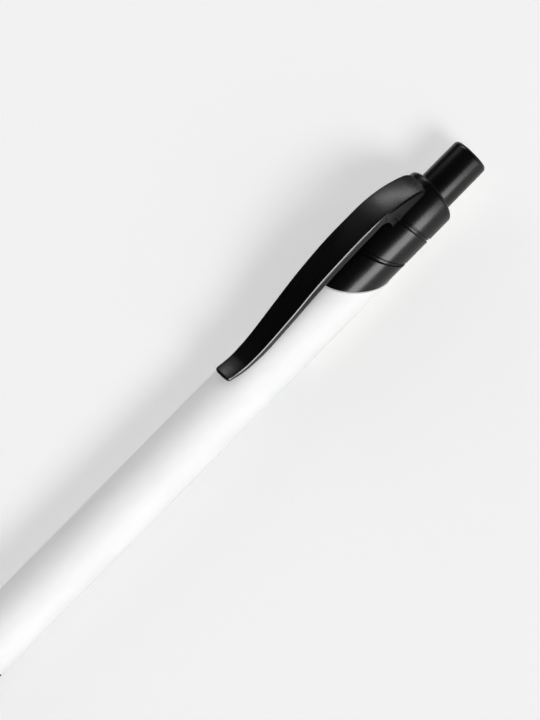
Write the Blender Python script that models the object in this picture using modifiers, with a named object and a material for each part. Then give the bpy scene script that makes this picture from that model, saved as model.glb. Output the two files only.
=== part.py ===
"""Retractable ballpoint pen with a leaning black top, a moulded clip and a rotating click cam.

The pen is modelled standing on its point: local Z runs from the nose to the button, and local +X
is the clip side. The empty pen_axis then lays it down along world X with the clip straight up,
and with the world origin under the middle of the pen, on the surface it lies on.
Sizes are in metres. Heights along the pen are counted from the front face of the nose.
"""

import math

import bmesh
import bpy
from mathutils import Vector

# Gaps between pieces
FIT_GAP = 0.00015
SEAT_GAP = 0.0003
SEAM_GAP = 0.0002
LEAD_IN = 0.0002

# Barrel
BARREL_RADIUS = 0.0052
BARREL_WALL = 0.00075
BARREL_LENGTH = 0.08925
BARREL_EDGE = 0.0001

# Nose cone
NOSE_LENGTH = 0.024
NOSE_TIP_RADIUS = 0.0018
NOSE_TIP_ROUND = 0.0003
NOSE_MOUTH_DEPTH = 0.0022
NOSE_SCREW_LENGTH = 0.009
NOSE_SCREW_WALL = 0.0011
NOSE_RELIEF_LENGTH = 0.004

# Black top: four rings lean against the pen's axis, each less than the one below it
HOUSING_LENGTH = 0.01901
HOUSING_STEP = 0.00015
SEAM_LEAN = 1.03
LOWER_GROOVE_LEAN = 0.49
UPPER_GROOVE_LEAN = 0.165
RIM_LEAN = -0.21
LOWER_GROOVE_RISE = 0.00605
UPPER_GROOVE_RISE = 0.01255
GROOVE_WIDTH = 0.0009
GROOVE_DEPTH = 0.00026
GROOVE_RIDGE_DROP = 0.00008
LIP_SWELL = 0.00005
SHOULDER_ROUND = 0.0013
SHOULDER_LAND = 0.00008
SPIGOT_WALL = 0.0008
SPIGOT_LENGTH = 0.008
PARTITION = 0.0015

# Clip: share of its length from the tip, rise of its top above the barrel, width, thickness
CLIP_LENGTH = 0.0464
CLIP_ROOT_DROP = 0.0005
CLIP_FORM = (
    (0.000, 0.00185, 0.00375, 0.00080),
    (0.045, 0.00122, 0.00388, 0.00080),
    (0.095, 0.00102, 0.00405, 0.00080),
    (0.175, 0.00122, 0.00434, 0.00100),
    (0.315, 0.00226, 0.00486, 0.00140),
    (0.460, 0.00344, 0.00530, 0.00158),
    (0.605, 0.00412, 0.00557, 0.00163),
    (0.730, 0.00423, 0.00552, 0.00163),
    (0.820, 0.00399, 0.00528, 0.00160),
    (0.895, 0.00314, 0.00512, 0.00142),
    (0.955, 0.00200, 0.00485, 0.00108),
    (1.000, 0.00085, 0.00455, 0.00055),
)
CLIP_CROWN = 0.00010
CLIP_EDGE = 0.00020
CLIP_TIP_CORNER = 0.00085
CLIP_ROOT_CORNER = 0.00110
CLIP_PIVOT_SHARE = 0.970

# Web that carries the clip
WEB_WIDTH = 0.0041
WEB_LENGTH = 0.0086
WEB_FRONT_LEAN = 0.0010
WEB_FRONT_HOLLOW = 0.00035
WEB_ROOT_DEPTH = 0.0009
WEB_EDGE = 0.00012

# Push button
BUTTON_SHOW = 0.00974
BUTTON_STROKE = 0.0070
BUTTON_RADIUS = 0.0035
BUTTON_TAPER = 0.00005
BUTTON_END_ROUND = 0.00075
BUTTON_DOME = 0.0002
BUTTON_FLAT_RADIUS = 0.0014
BUTTON_END_WALL = 0.0018
BUTTON_ENGAGED = 0.0025

# Click cam
FREE_PLAY = 0.0010
SLEEVE_WALL = 0.00045
SLEEVE_RING = 0.0020
SLEEVE_COLLAR = 0.0022
RIB_HEIGHT = 0.0006
STEM_WALL = 0.00075
FIN_COUNT = 4
GROOVE_ANGLE = math.radians(44)
FIN_ANGLE = math.radians(14)
KEY_ANGLE = math.radians(38)
KEY_LENGTH = 0.0030
FIN_LENGTH = 0.0037
FIN_SLANT = 0.0005
FIN_OFFSET = math.radians(11.25)
ROTOR_FOOT = 0.0008
ROTOR_PIN_LENGTH = 0.0050
ROTOR_TAIL_LENGTH = 0.0030
LATCH_RISE = 0.0008

# Refill and spring
POINT_INSET = 0.0012
BALL_RADIUS = 0.0005
BALL_GAP = 0.00005
POINT_RADIUS = 0.00115
POINT_SHOW = 0.0110
POINT_CONE = 0.0026
POINT_LIP = 0.00009
LIP_REACH = 0.0003
POINT_SHANK = 0.0040
INK_CHANNEL = 0.0003
TUBE_RADIUS = 0.0015
TUBE_WALL = 0.0005
INK_LENGTH = 0.062
FOLLOWER_LENGTH = 0.003
EAR_HEIGHT = 0.0007
EAR_LENGTH = 0.0016
EAR_ANGLE = math.radians(48)
SPRING_WIRE = 0.0004
SPRING_LENGTH = 0.0200
SPRING_TURNS = 13
SPRING_END_PITCH = 0.00085
SPRING_CLEARANCE = 0.0002

# Facets
ROUND_STEPS = 48
SMALL_STEPS = 24
CORNER_STEPS = 6
TIP_STEPS = 3
BALL_STEPS = 16
SPRING_STEPS = 8
EDGE_ANGLE = math.radians(50)

# Sizes that follow
TOTAL_LENGTH = NOSE_LENGTH + BARREL_LENGTH + HOUSING_LENGTH + BUTTON_SHOW
SEAM_Z = NOSE_LENGTH + BARREL_LENGTH
RIM_Z = SEAM_Z + HOUSING_LENGTH
HOUSING_RADIUS = BARREL_RADIUS - HOUSING_STEP
BARREL_BORE = BARREL_RADIUS - BARREL_WALL
SPIGOT_RADIUS = BARREL_BORE - FIT_GAP
SPIGOT_BORE = SPIGOT_RADIUS - SPIGOT_WALL
SPIGOT_END_Z = SEAM_Z - SEAM_LEAN * BARREL_RADIUS - SPIGOT_LENGTH
SLEEVE_RADIUS = SPIGOT_BORE - FIT_GAP
SLEEVE_BORE = SLEEVE_RADIUS - SLEEVE_WALL
FIN_RADIUS = SLEEVE_BORE - FIT_GAP
RIB_RADIUS = SLEEVE_BORE - RIB_HEIGHT
STEM_RADIUS = RIB_RADIUS - FIT_GAP
STEM_BORE = STEM_RADIUS - STEM_WALL
PIN_RADIUS = STEM_BORE - FIT_GAP
BUTTON_HOLE = BUTTON_RADIUS + FIT_GAP
BUTTON_BOTTOM_Z = RIM_Z - BUTTON_ENGAGED
FLOOR_Z = BUTTON_BOTTOM_Z - BUTTON_STROKE - SEAT_GAP
PARTITION_Z = FLOOR_Z - PARTITION
SLEEVE_TOP_Z = PARTITION_Z - SEAT_GAP
SLEEVE_RING_Z = SLEEVE_TOP_Z - SLEEVE_RING
SLEEVE_BOTTOM_Z = SPIGOT_END_Z - SEAT_GAP - SLEEVE_COLLAR
KEY_BOTTOM_Z = SLEEVE_RING_Z - SEAT_GAP - KEY_LENGTH
CROWN_ROOT_Z = KEY_BOTTOM_Z - SEAT_GAP
TOOTH_HEIGHT = FREE_PLAY
ROTOR_ROOT_Z = CROWN_ROOT_Z - 2 * TOOTH_HEIGHT - SEAT_GAP
FIN_TOP_Z = ROTOR_ROOT_Z
ROTOR_BOTTOM_Z = FIN_TOP_Z - FIN_LENGTH - ROTOR_FOOT
REFILL_TRAVEL = BUTTON_STROKE - FREE_PLAY
RIB_END_Z = FIN_TOP_Z - REFILL_TRAVEL + FREE_PLAY
REFILL_END_Z = ROTOR_BOTTOM_Z - SEAT_GAP
TUBE_BORE = TUBE_RADIUS - TUBE_WALL
TUBE_FRONT_Z = POINT_INSET + POINT_SHOW
SHANK_RADIUS = TUBE_BORE - FIT_GAP
SPRING_INNER = TUBE_RADIUS + SPRING_CLEARANCE
SPRING_OUTER = SPRING_INNER + SPRING_WIRE
SPRING_CHAMBER = SPRING_OUTER + SEAT_GAP
LEDGE_Z = TUBE_FRONT_Z - REFILL_TRAVEL + SEAT_GAP
EAR_Z = LEDGE_Z + SPRING_LENGTH
TOOTH_COUNT = 2 * FIN_COUNT


def remove_everything():
    """Clears the scene of objects."""
    for thing in list(bpy.data.objects):
        bpy.data.objects.remove(thing, do_unlink=True)


def new_collection(name):
    """Adds a collection to the scene."""
    collection = bpy.data.collections.new(name)
    bpy.context.scene.collection.children.link(collection)
    return collection


def plain_material(name, color, roughness, metallic=0.0):
    """Makes a Principled material of one colour."""
    material = bpy.data.materials.new(name)
    material.use_nodes = True
    shader = material.node_tree.nodes["Principled BSDF"]
    shader.inputs["Base Color"].default_value = (*color, 1.0)
    shader.inputs["Roughness"].default_value = roughness
    shader.inputs["Metallic"].default_value = metallic
    material.diffuse_color = (*color, 1.0)
    return material


def arc(center, radius, start, end, steps):
    """Points (radius from the axis, height) along an arc, angles in degrees from straight out."""
    points = []
    for i in range(steps + 1):
        angle = math.radians(start + (end - start) * i / steps)
        points.append((center[0] + radius * math.cos(angle), center[1] + radius * math.sin(angle)))
    return points


def place(name, mesh, collection, parent, location=(0, 0, 0)):
    """Adds an object for a mesh or curve under its parent."""
    thing = bpy.data.objects.new(name, mesh)
    collection.objects.link(thing)
    thing.parent = parent
    thing.location = location
    return thing


def settled_mesh(thing):
    """The mesh of an object with its modifiers applied."""
    bpy.context.view_layer.update()
    graph = bpy.context.evaluated_depsgraph_get()
    return bpy.data.meshes.new_from_object(thing.evaluated_get(graph), depsgraph=graph)


def settle(thing, color=None, crease=32):
    """Applies the modifiers, smooths round faces and keeps the real corners sharp."""
    mesh = settled_mesh(thing)
    mesh.name = thing.name
    thing.modifiers.clear()
    thing.data = mesh
    mesh.shade_smooth()
    mesh.set_sharp_from_angle(angle=math.radians(crease))
    if color:
        mesh.materials.clear()
        mesh.materials.append(color)
    return thing


def turned(name, profile, collection, parent, steps=ROUND_STEPS):
    """Turns a profile of (radius, height) points, which runs down the outside and up the inside."""
    mesh = bpy.data.meshes.new(name)
    closed = profile[0][0] > 0 and profile[-1][0] > 0
    count = len(profile)
    edges = [(i, i + 1) for i in range(count - 1)]
    if closed:
        edges.append((count - 1, 0))
    mesh.from_pydata([(radius, 0, height) for radius, height in profile], edges, [])
    thing = place(name, mesh, collection, parent)
    screw = thing.modifiers.new("turn", "SCREW")
    screw.axis = "Z"
    screw.angle = 2 * math.pi
    screw.steps = steps
    screw.render_steps = steps
    screw.use_merge_vertices = True
    screw.merge_threshold = 0.000001
    screw.use_smooth_shade = True
    return settle(thing)


def move_vertices(thing, rule):
    """Moves each vertex of a settled mesh along the pen by what the rule gives for it."""
    for vertex in thing.data.vertices:
        vertex.co.z += rule(vertex.co)
    thing.data.update()


def combine(thing, other, operation):
    """Joins another object to this one, or cuts it away, and hides the other as a guide."""
    other.hide_render = True
    other.display_type = "WIRE"
    change = thing.modifiers.new(operation.lower() + "_" + other.name, "BOOLEAN")
    change.operation = operation
    change.solver = "EXACT"
    change.object = other


def sector_block(name, inner, outer, middle, spread, bottom, top, collection, parent, steps=6):
    """A block between two radii and two half-planes. Its ends follow bottom(share), top(share)."""
    mesh = bpy.data.meshes.new(name)
    shape = bmesh.new()
    rows = []
    for i in range(steps + 1):
        share = i / steps
        angle = middle + spread * (share - 0.5)
        row = []
        for radius, height in (
            (inner, bottom(share)),
            (outer, bottom(share)),
            (outer, top(share)),
            (inner, top(share)),
        ):
            row.append(shape.verts.new((radius * math.cos(angle), radius * math.sin(angle), height)))
        rows.append(row)
    for row, following in zip(rows, rows[1:]):
        for k in range(4):
            shape.faces.new((row[k], row[(k + 1) % 4], following[(k + 1) % 4], following[k]))
    shape.faces.new(list(reversed(rows[0])))
    shape.faces.new(rows[-1])
    bmesh.ops.recalc_face_normals(shape, faces=shape.faces)
    shape.to_mesh(mesh)
    shape.free()
    return place(name, mesh, collection, parent)


def tooth_wave(angle):
    """1 at each tooth's point and 0 half way to the next one, in straight flanks."""
    turn = angle * TOOTH_COUNT / (2 * math.pi)
    return abs(2 * (turn - math.floor(turn)) - 1)


def lean_at(height):
    """How far a ring at this height leans: it changes evenly between the named rings."""
    rings = (
        (SEAM_Z, SEAM_LEAN),
        (SEAM_Z + LOWER_GROOVE_RISE, LOWER_GROOVE_LEAN),
        (SEAM_Z + UPPER_GROOVE_RISE, UPPER_GROOVE_LEAN),
        (RIM_Z, RIM_LEAN),
    )
    if height <= rings[0][0]:
        return rings[0][1]
    for (low, low_lean), (high, high_lean) in zip(rings, rings[1:]):
        if height <= high:
            share = (height - low) / (high - low)
            return low_lean + (high_lean - low_lean) * share
    return rings[-1][1]


def clip_at(share):
    """Rise above the barrel, width and thickness of the clip, on a smooth curve through its form."""
    last = len(CLIP_FORM) - 1
    k = 0
    while k < last - 1 and share > CLIP_FORM[k + 1][0]:
        k += 1
    before = CLIP_FORM[max(k - 1, 0)]
    start = CLIP_FORM[k]
    end = CLIP_FORM[k + 1]
    after = CLIP_FORM[min(k + 2, last)]
    span = end[0] - start[0]
    t = (share - start[0]) / span
    values = []
    for column in (1, 2, 3):
        slope_in = (end[column] - before[column]) / (end[0] - before[0]) * span
        slope_out = (after[column] - start[column]) / (after[0] - start[0]) * span
        values.append(
            (2 * t**3 - 3 * t**2 + 1) * start[column]
            + (t**3 - 2 * t**2 + t) * slope_in
            + (3 * t**2 - 2 * t**3) * end[column]
            + (t**3 - t**2) * slope_out
        )
    return values


def clip_z(share):
    """Height along the pen of a place on the clip, counted from its tip as a share of its length."""
    return RIM_Z - CLIP_ROOT_DROP - CLIP_LENGTH * (1 - share)


def clip_underside(height):
    """Distance of the clip's underside from the pen's axis at a height along the pen."""
    share = 1 - (RIM_Z - CLIP_ROOT_DROP - height) / CLIP_LENGTH
    rise, _, thickness = clip_at(share)
    nearby = 0.01
    slope = (clip_at(share)[0] - clip_at(share - nearby)[0]) / (nearby * CLIP_LENGTH)
    return BARREL_RADIUS + rise - thickness * math.hypot(1, slope)


def make_barrel(collection, parent):
    """White barrel: a plain tube whose top end leans to meet the black top."""
    start = NOSE_LENGTH
    profile = [
        (BARREL_RADIUS - BARREL_EDGE, SEAM_Z),
        (BARREL_RADIUS, SEAM_Z - BARREL_EDGE),
        (BARREL_RADIUS, SPIGOT_END_Z),
        (BARREL_RADIUS, start + BARREL_EDGE),
        (BARREL_RADIUS - BARREL_EDGE, start),
        (BARREL_BORE, start),
        (BARREL_BORE, SPIGOT_END_Z),
        (BARREL_BORE, SEAM_Z),
    ]
    barrel = turned("barrel", profile, collection, parent)
    plain = (SPIGOT_END_Z + SEAM_Z) / 2
    move_vertices(barrel, lambda p: -SEAM_LEAN * p.x if p.z > plain else 0)
    return barrel


def make_nose_cone(collection, parent):
    """Black nose cone: a rounded taper with a screw spigot, a spring chamber and a tip hole."""
    curve_steps = 11
    joint = NOSE_LENGTH - SEAM_GAP
    outer = []
    for i in range(curve_steps):
        share = 1 - i / curve_steps
        radius = NOSE_TIP_RADIUS + (BARREL_RADIUS - NOSE_TIP_RADIUS) * (1 - (1 - share) ** 2)
        outer.append((radius, NOSE_TIP_ROUND + (joint - BARREL_EDGE - NOSE_TIP_ROUND) * share))
    tip = arc((NOSE_TIP_RADIUS - NOSE_TIP_ROUND, NOSE_TIP_ROUND), NOSE_TIP_ROUND, 0, -90, TIP_STEPS)
    screw_radius = BARREL_BORE - FIT_GAP
    screw_bore = screw_radius - NOSE_SCREW_WALL
    mouth = POINT_RADIUS + FIT_GAP
    passage = TUBE_RADIUS + FIT_GAP
    screw_top = NOSE_LENGTH + NOSE_SCREW_LENGTH
    relief_top = NOSE_LENGTH - NOSE_RELIEF_LENGTH
    relief_bottom = relief_top - (screw_bore - SPRING_CHAMBER)
    profile = [
        (screw_radius - LEAD_IN, screw_top),
        (screw_radius, screw_top - LEAD_IN),
        (screw_radius, joint),
        (BARREL_RADIUS - BARREL_EDGE, joint),
    ]
    profile += outer
    profile += tip
    profile += [
        (mouth, 0),
        (mouth, NOSE_MOUTH_DEPTH),
        (passage, NOSE_MOUTH_DEPTH + passage - mouth),
        (passage, LEDGE_Z),
        (SPRING_CHAMBER, LEDGE_Z),
        (SPRING_CHAMBER, relief_bottom),
        (screw_bore, relief_top),
        (screw_bore, screw_top),
    ]
    return turned("nose_cone", profile, collection, parent)


def groove_profile(height):
    """Outline of a double groove, from its upper lip down: two narrow cuts with a ridge between."""
    outer = HOUSING_RADIUS
    floor = outer - GROOVE_DEPTH
    ridge = outer - GROOVE_RIDGE_DROP
    form = (
        (1.0, outer),
        (0.8, outer - 2 * LIP_SWELL),
        (0.7, floor),
        (0.4, floor),
        (0.3, ridge),
        (-0.2, ridge),
        (-0.35, floor),
        (-0.7, floor),
        (-0.8, outer),
        (-1.0, outer + LIP_SWELL),
        (-2.0, outer),
    )
    return [(radius, height + share * GROOVE_WIDTH / 2) for share, radius in form]


def make_web(collection, parent):
    """Upright web between the black top and the clip, hollowed a little at its front."""
    top_z = RIM_Z - CLIP_ROOT_DROP
    base_x = HOUSING_RADIUS - WEB_ROOT_DEPTH
    front_z = top_z - WEB_LENGTH
    top_steps = 8
    front_steps = 5
    outline = [(base_x, top_z)]
    under = clip_underside(front_z - WEB_FRONT_LEAN) - SEAT_GAP
    for i in range(front_steps):
        share = i / front_steps
        hollow = WEB_FRONT_HOLLOW * math.sin(math.pi * share)
        outline.append((base_x + (under - base_x) * share, front_z - WEB_FRONT_LEAN * share + hollow))
    for i in range(top_steps + 1):
        height = front_z - WEB_FRONT_LEAN + (top_z - front_z + WEB_FRONT_LEAN) * i / top_steps
        outline.append((max(clip_underside(height) - SEAT_GAP, base_x + WEB_EDGE), height))
    shape = bmesh.new()
    face = shape.faces.new([shape.verts.new((x, -WEB_WIDTH / 2, z)) for x, z in outline])
    drawn = bmesh.ops.extrude_face_region(shape, geom=[face])
    moved = [item for item in drawn["geom"] if isinstance(item, bmesh.types.BMVert)]
    bmesh.ops.translate(shape, verts=moved, vec=(0, WEB_WIDTH, 0))
    bmesh.ops.recalc_face_normals(shape, faces=shape.faces)
    mesh = bpy.data.meshes.new("web")
    shape.to_mesh(mesh)
    shape.free()
    web = place("web", mesh, collection, parent)
    rounding = web.modifiers.new("edges", "BEVEL")
    rounding.width = WEB_EDGE
    rounding.segments = 1
    rounding.limit_method = "ANGLE"
    rounding.angle_limit = EDGE_ANGLE
    return web


def make_top_housing(collection, cutters, parent):
    """Black top: leaning rings round a straight bore, a spigot for the barrel and the clip's web."""
    outer = HOUSING_RADIUS
    seam = SEAM_Z + SEAM_GAP
    rounding = min(SHOULDER_ROUND, outer - BUTTON_HOLE - SHOULDER_LAND)
    profile = [(BUTTON_HOLE, RIM_Z)]
    profile += list(reversed(arc((outer - rounding, RIM_Z - rounding), rounding, 0, 90, CORNER_STEPS)))
    profile += groove_profile(SEAM_Z + UPPER_GROOVE_RISE)
    profile += groove_profile(SEAM_Z + LOWER_GROOVE_RISE)
    profile += [
        (outer, seam + BARREL_EDGE),
        (outer - BARREL_EDGE, seam),
        (SPIGOT_RADIUS, seam),
        (SPIGOT_RADIUS, SPIGOT_END_Z + LEAD_IN),
        (SPIGOT_RADIUS - LEAD_IN, SPIGOT_END_Z),
        (SPIGOT_BORE, SPIGOT_END_Z),
        (SPIGOT_BORE, PARTITION_Z),
        (RIB_RADIUS, PARTITION_Z),
        (RIB_RADIUS, FLOOR_Z),
        (BUTTON_HOLE, FLOOR_Z),
    ]
    housing = turned("top_housing", profile, collection, parent)
    skin = (SPIGOT_RADIUS + SPIGOT_BORE) / 2

    def lean(point):
        outside = math.hypot(point.x, point.y) > skin and point.z > SEAM_Z
        on_rim = point.z > RIM_Z - SHOULDER_LAND
        return -lean_at(point.z) * point.x if outside or on_rim else 0

    move_vertices(housing, lean)
    combine(housing, make_web(cutters, parent), "UNION")
    return housing


def clip_shares():
    """Places along the clip: close together round its corners and even between them."""
    corner_steps = 4
    body_steps = 22
    tip = CLIP_TIP_CORNER / CLIP_LENGTH
    root = CLIP_ROOT_CORNER / CLIP_LENGTH
    turns = [math.pi / 2 * i / corner_steps for i in range(corner_steps)]
    shares = [tip * (1 - math.cos(turn)) for turn in turns]
    shares += [tip + (1 - tip - root) * i / body_steps for i in range(body_steps + 1)]
    shares += [1 - root * (1 - math.cos(turn)) for turn in reversed(turns)]
    return shares


def clip_half_width(share):
    """Half the clip's width, drawn in round the corners of its tip and its root."""
    half = clip_at(share)[1] / 2
    for corner, from_end in (
        (CLIP_TIP_CORNER, share * CLIP_LENGTH),
        (CLIP_ROOT_CORNER, (1 - share) * CLIP_LENGTH),
    ):
        if from_end < corner:
            half += math.sqrt(max(corner**2 - (corner - from_end) ** 2, 0)) - corner
    return half


def make_clip(collection, parent):
    """Clip: a crowned strip with a swept side view, given its thickness and rounded edges."""
    shares = clip_shares()
    pivot = Vector((BARREL_RADIUS + clip_at(CLIP_PIVOT_SHARE)[0], 0, clip_z(CLIP_PIVOT_SHARE)))
    across = 4
    thickest = max(row[3] for row in CLIP_FORM)
    shape = bmesh.new()
    bmesh.ops.create_grid(shape, x_segments=len(shares) - 1, y_segments=across, size=1)
    shape.verts.ensure_lookup_table()
    order = sorted(shape.verts, key=lambda v: (round(v.co.x, 5), round(v.co.y, 5)))
    weights = {}
    for place_index, vertex in enumerate(order):
        share = shares[place_index // (across + 1)]
        side = 2 * (place_index % (across + 1)) / across - 1
        rise, _, thickness = clip_at(share)
        height = BARREL_RADIUS + rise - CLIP_CROWN * side**2
        vertex.co = Vector((height, side * clip_half_width(share), clip_z(share))) - pivot
        weights[vertex.index] = thickness / thickest
    bmesh.ops.recalc_face_normals(shape, faces=shape.faces)
    if sum(face.normal.x for face in shape.faces) < 0:
        bmesh.ops.reverse_faces(shape, faces=shape.faces)
    mesh = bpy.data.meshes.new("clip")
    shape.to_mesh(mesh)
    shape.free()
    clip = place("clip", mesh, collection, parent, pivot)
    group = clip.vertex_groups.new(name="thickness")
    for index, weight in weights.items():
        group.add([index], weight, "REPLACE")
    shell = clip.modifiers.new("thickness", "SOLIDIFY")
    shell.thickness = thickest
    shell.offset = -1
    shell.use_even_offset = True
    shell.vertex_group = group.name
    rounding = clip.modifiers.new("edges", "BEVEL")
    rounding.width = CLIP_EDGE
    rounding.segments = 2
    rounding.limit_method = "ANGLE"
    rounding.angle_limit = EDGE_ANGLE
    return clip


def make_push_button(collection, parent):
    """Push button: a cap over the stem with a rounded, slightly domed end."""
    end = TOTAL_LENGTH
    slim = BUTTON_RADIUS - BUTTON_TAPER
    corner = (slim - BUTTON_END_ROUND, end - BUTTON_DOME - BUTTON_END_ROUND)
    socket = STEM_RADIUS + FIT_GAP
    profile = [(0, end), (BUTTON_FLAT_RADIUS, end)]
    profile += list(reversed(arc(corner, BUTTON_END_ROUND, 0, 90, CORNER_STEPS)))
    profile += [
        (BUTTON_RADIUS, BUTTON_BOTTOM_Z + BARREL_EDGE),
        (BUTTON_RADIUS - BARREL_EDGE, BUTTON_BOTTOM_Z),
        (socket, BUTTON_BOTTOM_Z),
        (socket, end - BUTTON_END_WALL),
        (0, end - BUTTON_END_WALL),
    ]
    return turned("push_button", profile, collection, parent)


def make_thrust_tube(collection, cutters, parent):
    """Thrust tube: the button's stem, with a toothed crown below and keys that keep it straight."""
    stem_top = TOTAL_LENGTH - BUTTON_END_WALL - SEAT_GAP
    profile = [
        (STEM_RADIUS, stem_top),
        (STEM_RADIUS, CROWN_ROOT_Z),
        (STEM_BORE, CROWN_ROOT_Z),
        (STEM_BORE, stem_top),
    ]
    tube = turned("thrust_tube", profile, collection, parent)
    low = CROWN_ROOT_Z + TOOTH_HEIGHT / 2
    move_vertices(tube, lambda p: -TOOTH_HEIGHT * tooth_wave(math.atan2(p.y, p.x)) if p.z < low else 0)
    for k in range(FIN_COUNT):
        key = sector_block(
            f"key_{k}",
            (STEM_RADIUS + STEM_BORE) / 2,
            FIN_RADIUS - FIT_GAP / 2,
            2 * math.pi * k / FIN_COUNT,
            KEY_ANGLE,
            lambda share: KEY_BOTTOM_Z,
            lambda share: KEY_BOTTOM_Z + KEY_LENGTH,
            cutters,
            parent,
        )
        combine(tube, key, "UNION")
    return tube


def make_cam_sleeve(collection, cutters, parent):
    """Fixed cam sleeve: four broad ribs whose lower ends are slanted and notched to catch the fins."""
    collar = min(SLEEVE_RADIUS + SPIGOT_WALL, SPIGOT_RADIUS)
    collar_z = SLEEVE_BOTTOM_Z + SLEEVE_COLLAR
    profile = [
        (SLEEVE_RADIUS, SLEEVE_TOP_Z),
        (SLEEVE_RADIUS, collar_z),
        (collar, collar_z),
        (collar, SLEEVE_BOTTOM_Z),
        (SLEEVE_BORE, SLEEVE_BOTTOM_Z),
        (SLEEVE_BORE, SLEEVE_RING_Z),
        (RIB_RADIUS, SLEEVE_RING_Z),
        (RIB_RADIUS, SLEEVE_TOP_Z),
    ]
    sleeve = turned("cam_sleeve", profile, collection, parent)
    spread = 2 * math.pi / FIN_COUNT - GROOVE_ANGLE

    def rib_end(share):
        climb = (2 - 2 * share) % 1 if share > 0 else 1
        return RIB_END_Z + LATCH_RISE * climb

    for k in range(FIN_COUNT):
        rib = sector_block(
            f"rib_{k}",
            RIB_RADIUS,
            SLEEVE_BORE + SLEEVE_WALL / 2,
            2 * math.pi * (k + 0.5) / FIN_COUNT,
            spread,
            rib_end,
            lambda share: SLEEVE_RING_Z + SLEEVE_RING / 2,
            cutters,
            parent,
            steps=10,
        )
        combine(sleeve, rib, "UNION")
    return sleeve


def make_cam_rotor(collection, cutters, parent):
    """Rotor: a toothed core with four slanted fins, a guide pin above and a tail for the refill."""
    tail = TUBE_BORE - FIT_GAP
    profile = [
        (0, ROTOR_ROOT_Z + ROTOR_PIN_LENGTH),
        (PIN_RADIUS, ROTOR_ROOT_Z + ROTOR_PIN_LENGTH),
        (PIN_RADIUS, ROTOR_ROOT_Z),
        (STEM_RADIUS, ROTOR_ROOT_Z),
        (STEM_RADIUS, ROTOR_BOTTOM_Z),
        (tail, ROTOR_BOTTOM_Z),
        (tail, ROTOR_BOTTOM_Z - ROTOR_TAIL_LENGTH),
        (0, ROTOR_BOTTOM_Z - ROTOR_TAIL_LENGTH),
    ]
    rotor = turned("cam_rotor", profile, collection, parent)
    low = ROTOR_ROOT_Z - TOOTH_HEIGHT / 2
    high = ROTOR_ROOT_Z + TOOTH_HEIGHT / 2

    def tooth_rise(point):
        if low < point.z < high:
            return TOOTH_HEIGHT * tooth_wave(math.atan2(point.y, point.x))
        return 0

    move_vertices(rotor, tooth_rise)
    for k in range(FIN_COUNT):
        fin = sector_block(
            f"fin_{k}",
            (PIN_RADIUS + STEM_RADIUS) / 2,
            FIN_RADIUS,
            2 * math.pi * k / FIN_COUNT + FIN_OFFSET,
            FIN_ANGLE,
            lambda share: FIN_TOP_Z - FIN_LENGTH,
            lambda share: FIN_TOP_Z - FIN_SLANT * share,
            cutters,
            parent,
            steps=2,
        )
        combine(rotor, fin, "UNION")
    return rotor


def make_refill_tube(collection, cutters, parent):
    """Refill tube: a plastic tube with two pinched ears that the spring pushes on."""
    profile = [
        (TUBE_RADIUS, REFILL_END_Z),
        (TUBE_RADIUS, TUBE_FRONT_Z),
        (TUBE_BORE, TUBE_FRONT_Z),
        (TUBE_BORE, REFILL_END_Z),
    ]
    tube = turned("refill_tube", profile, collection, parent, SMALL_STEPS)
    for k in range(2):
        ear = sector_block(
            f"ear_{k}",
            TUBE_RADIUS - TUBE_WALL / 2,
            TUBE_RADIUS + EAR_HEIGHT,
            math.pi * (k + 0.5),
            EAR_ANGLE,
            lambda share: EAR_Z,
            lambda share: EAR_Z + EAR_LENGTH,
            cutters,
            parent,
            steps=4,
        )
        combine(tube, ear, "UNION")
    return tube


def make_refill_point(collection, parent):
    """Brass point: a cone with the ball's socket, a collar, and a shank pressed into the tube."""
    center = POINT_INSET + BALL_RADIUS
    socket = BALL_RADIUS + BALL_GAP
    lip = math.sqrt(socket**2 - LIP_REACH**2)
    lip_angle = -math.degrees(math.asin(LIP_REACH / socket))
    channel_angle = math.degrees(math.acos(INK_CHANNEL / socket))
    top = TUBE_FRONT_Z + POINT_SHANK
    collar = TUBE_FRONT_Z - FIT_GAP
    profile = [
        (SHANK_RADIUS, top),
        (SHANK_RADIUS, collar),
        (POINT_RADIUS, collar),
        (POINT_RADIUS, center - LIP_REACH + POINT_CONE),
        (lip + POINT_LIP, center - LIP_REACH),
    ]
    profile += arc((0, center), socket, lip_angle, channel_angle, CORNER_STEPS)
    profile += [(INK_CHANNEL, top)]
    return turned("refill_point", profile, collection, parent, SMALL_STEPS)


def make_ball(collection, parent):
    """Writing ball, held in the point's socket."""
    shape = bmesh.new()
    bmesh.ops.create_uvsphere(shape, u_segments=BALL_STEPS, v_segments=BALL_STEPS // 2, radius=BALL_RADIUS)
    mesh = bpy.data.meshes.new("writing_ball")
    shape.to_mesh(mesh)
    shape.free()
    return place("writing_ball", mesh, collection, parent, (0, 0, POINT_INSET + BALL_RADIUS))


def make_column(name, start, length, collection, parent):
    """A plain column that fills the refill tube's bore."""
    radius = TUBE_BORE - FIT_GAP
    profile = [(0, start + length), (radius, start + length), (radius, start), (0, start)]
    return turned(name, profile, collection, parent, SMALL_STEPS)


def spring_points(turns, radius, start, end):
    """Points along the return spring, whose end turns lie closer together than the rest."""
    count = turns * SPRING_STEPS
    open_pitch = (end - start - 2 * SPRING_END_PITCH) / (turns - 2)
    height = start
    points = []
    for i in range(count + 1):
        angle = 2 * math.pi * i / SPRING_STEPS
        points.append((radius * math.cos(angle), radius * math.sin(angle), height))
        near_end = i < SPRING_STEPS or i >= count - SPRING_STEPS
        height += (SPRING_END_PITCH if near_end else open_pitch) / SPRING_STEPS
    return points


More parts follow.
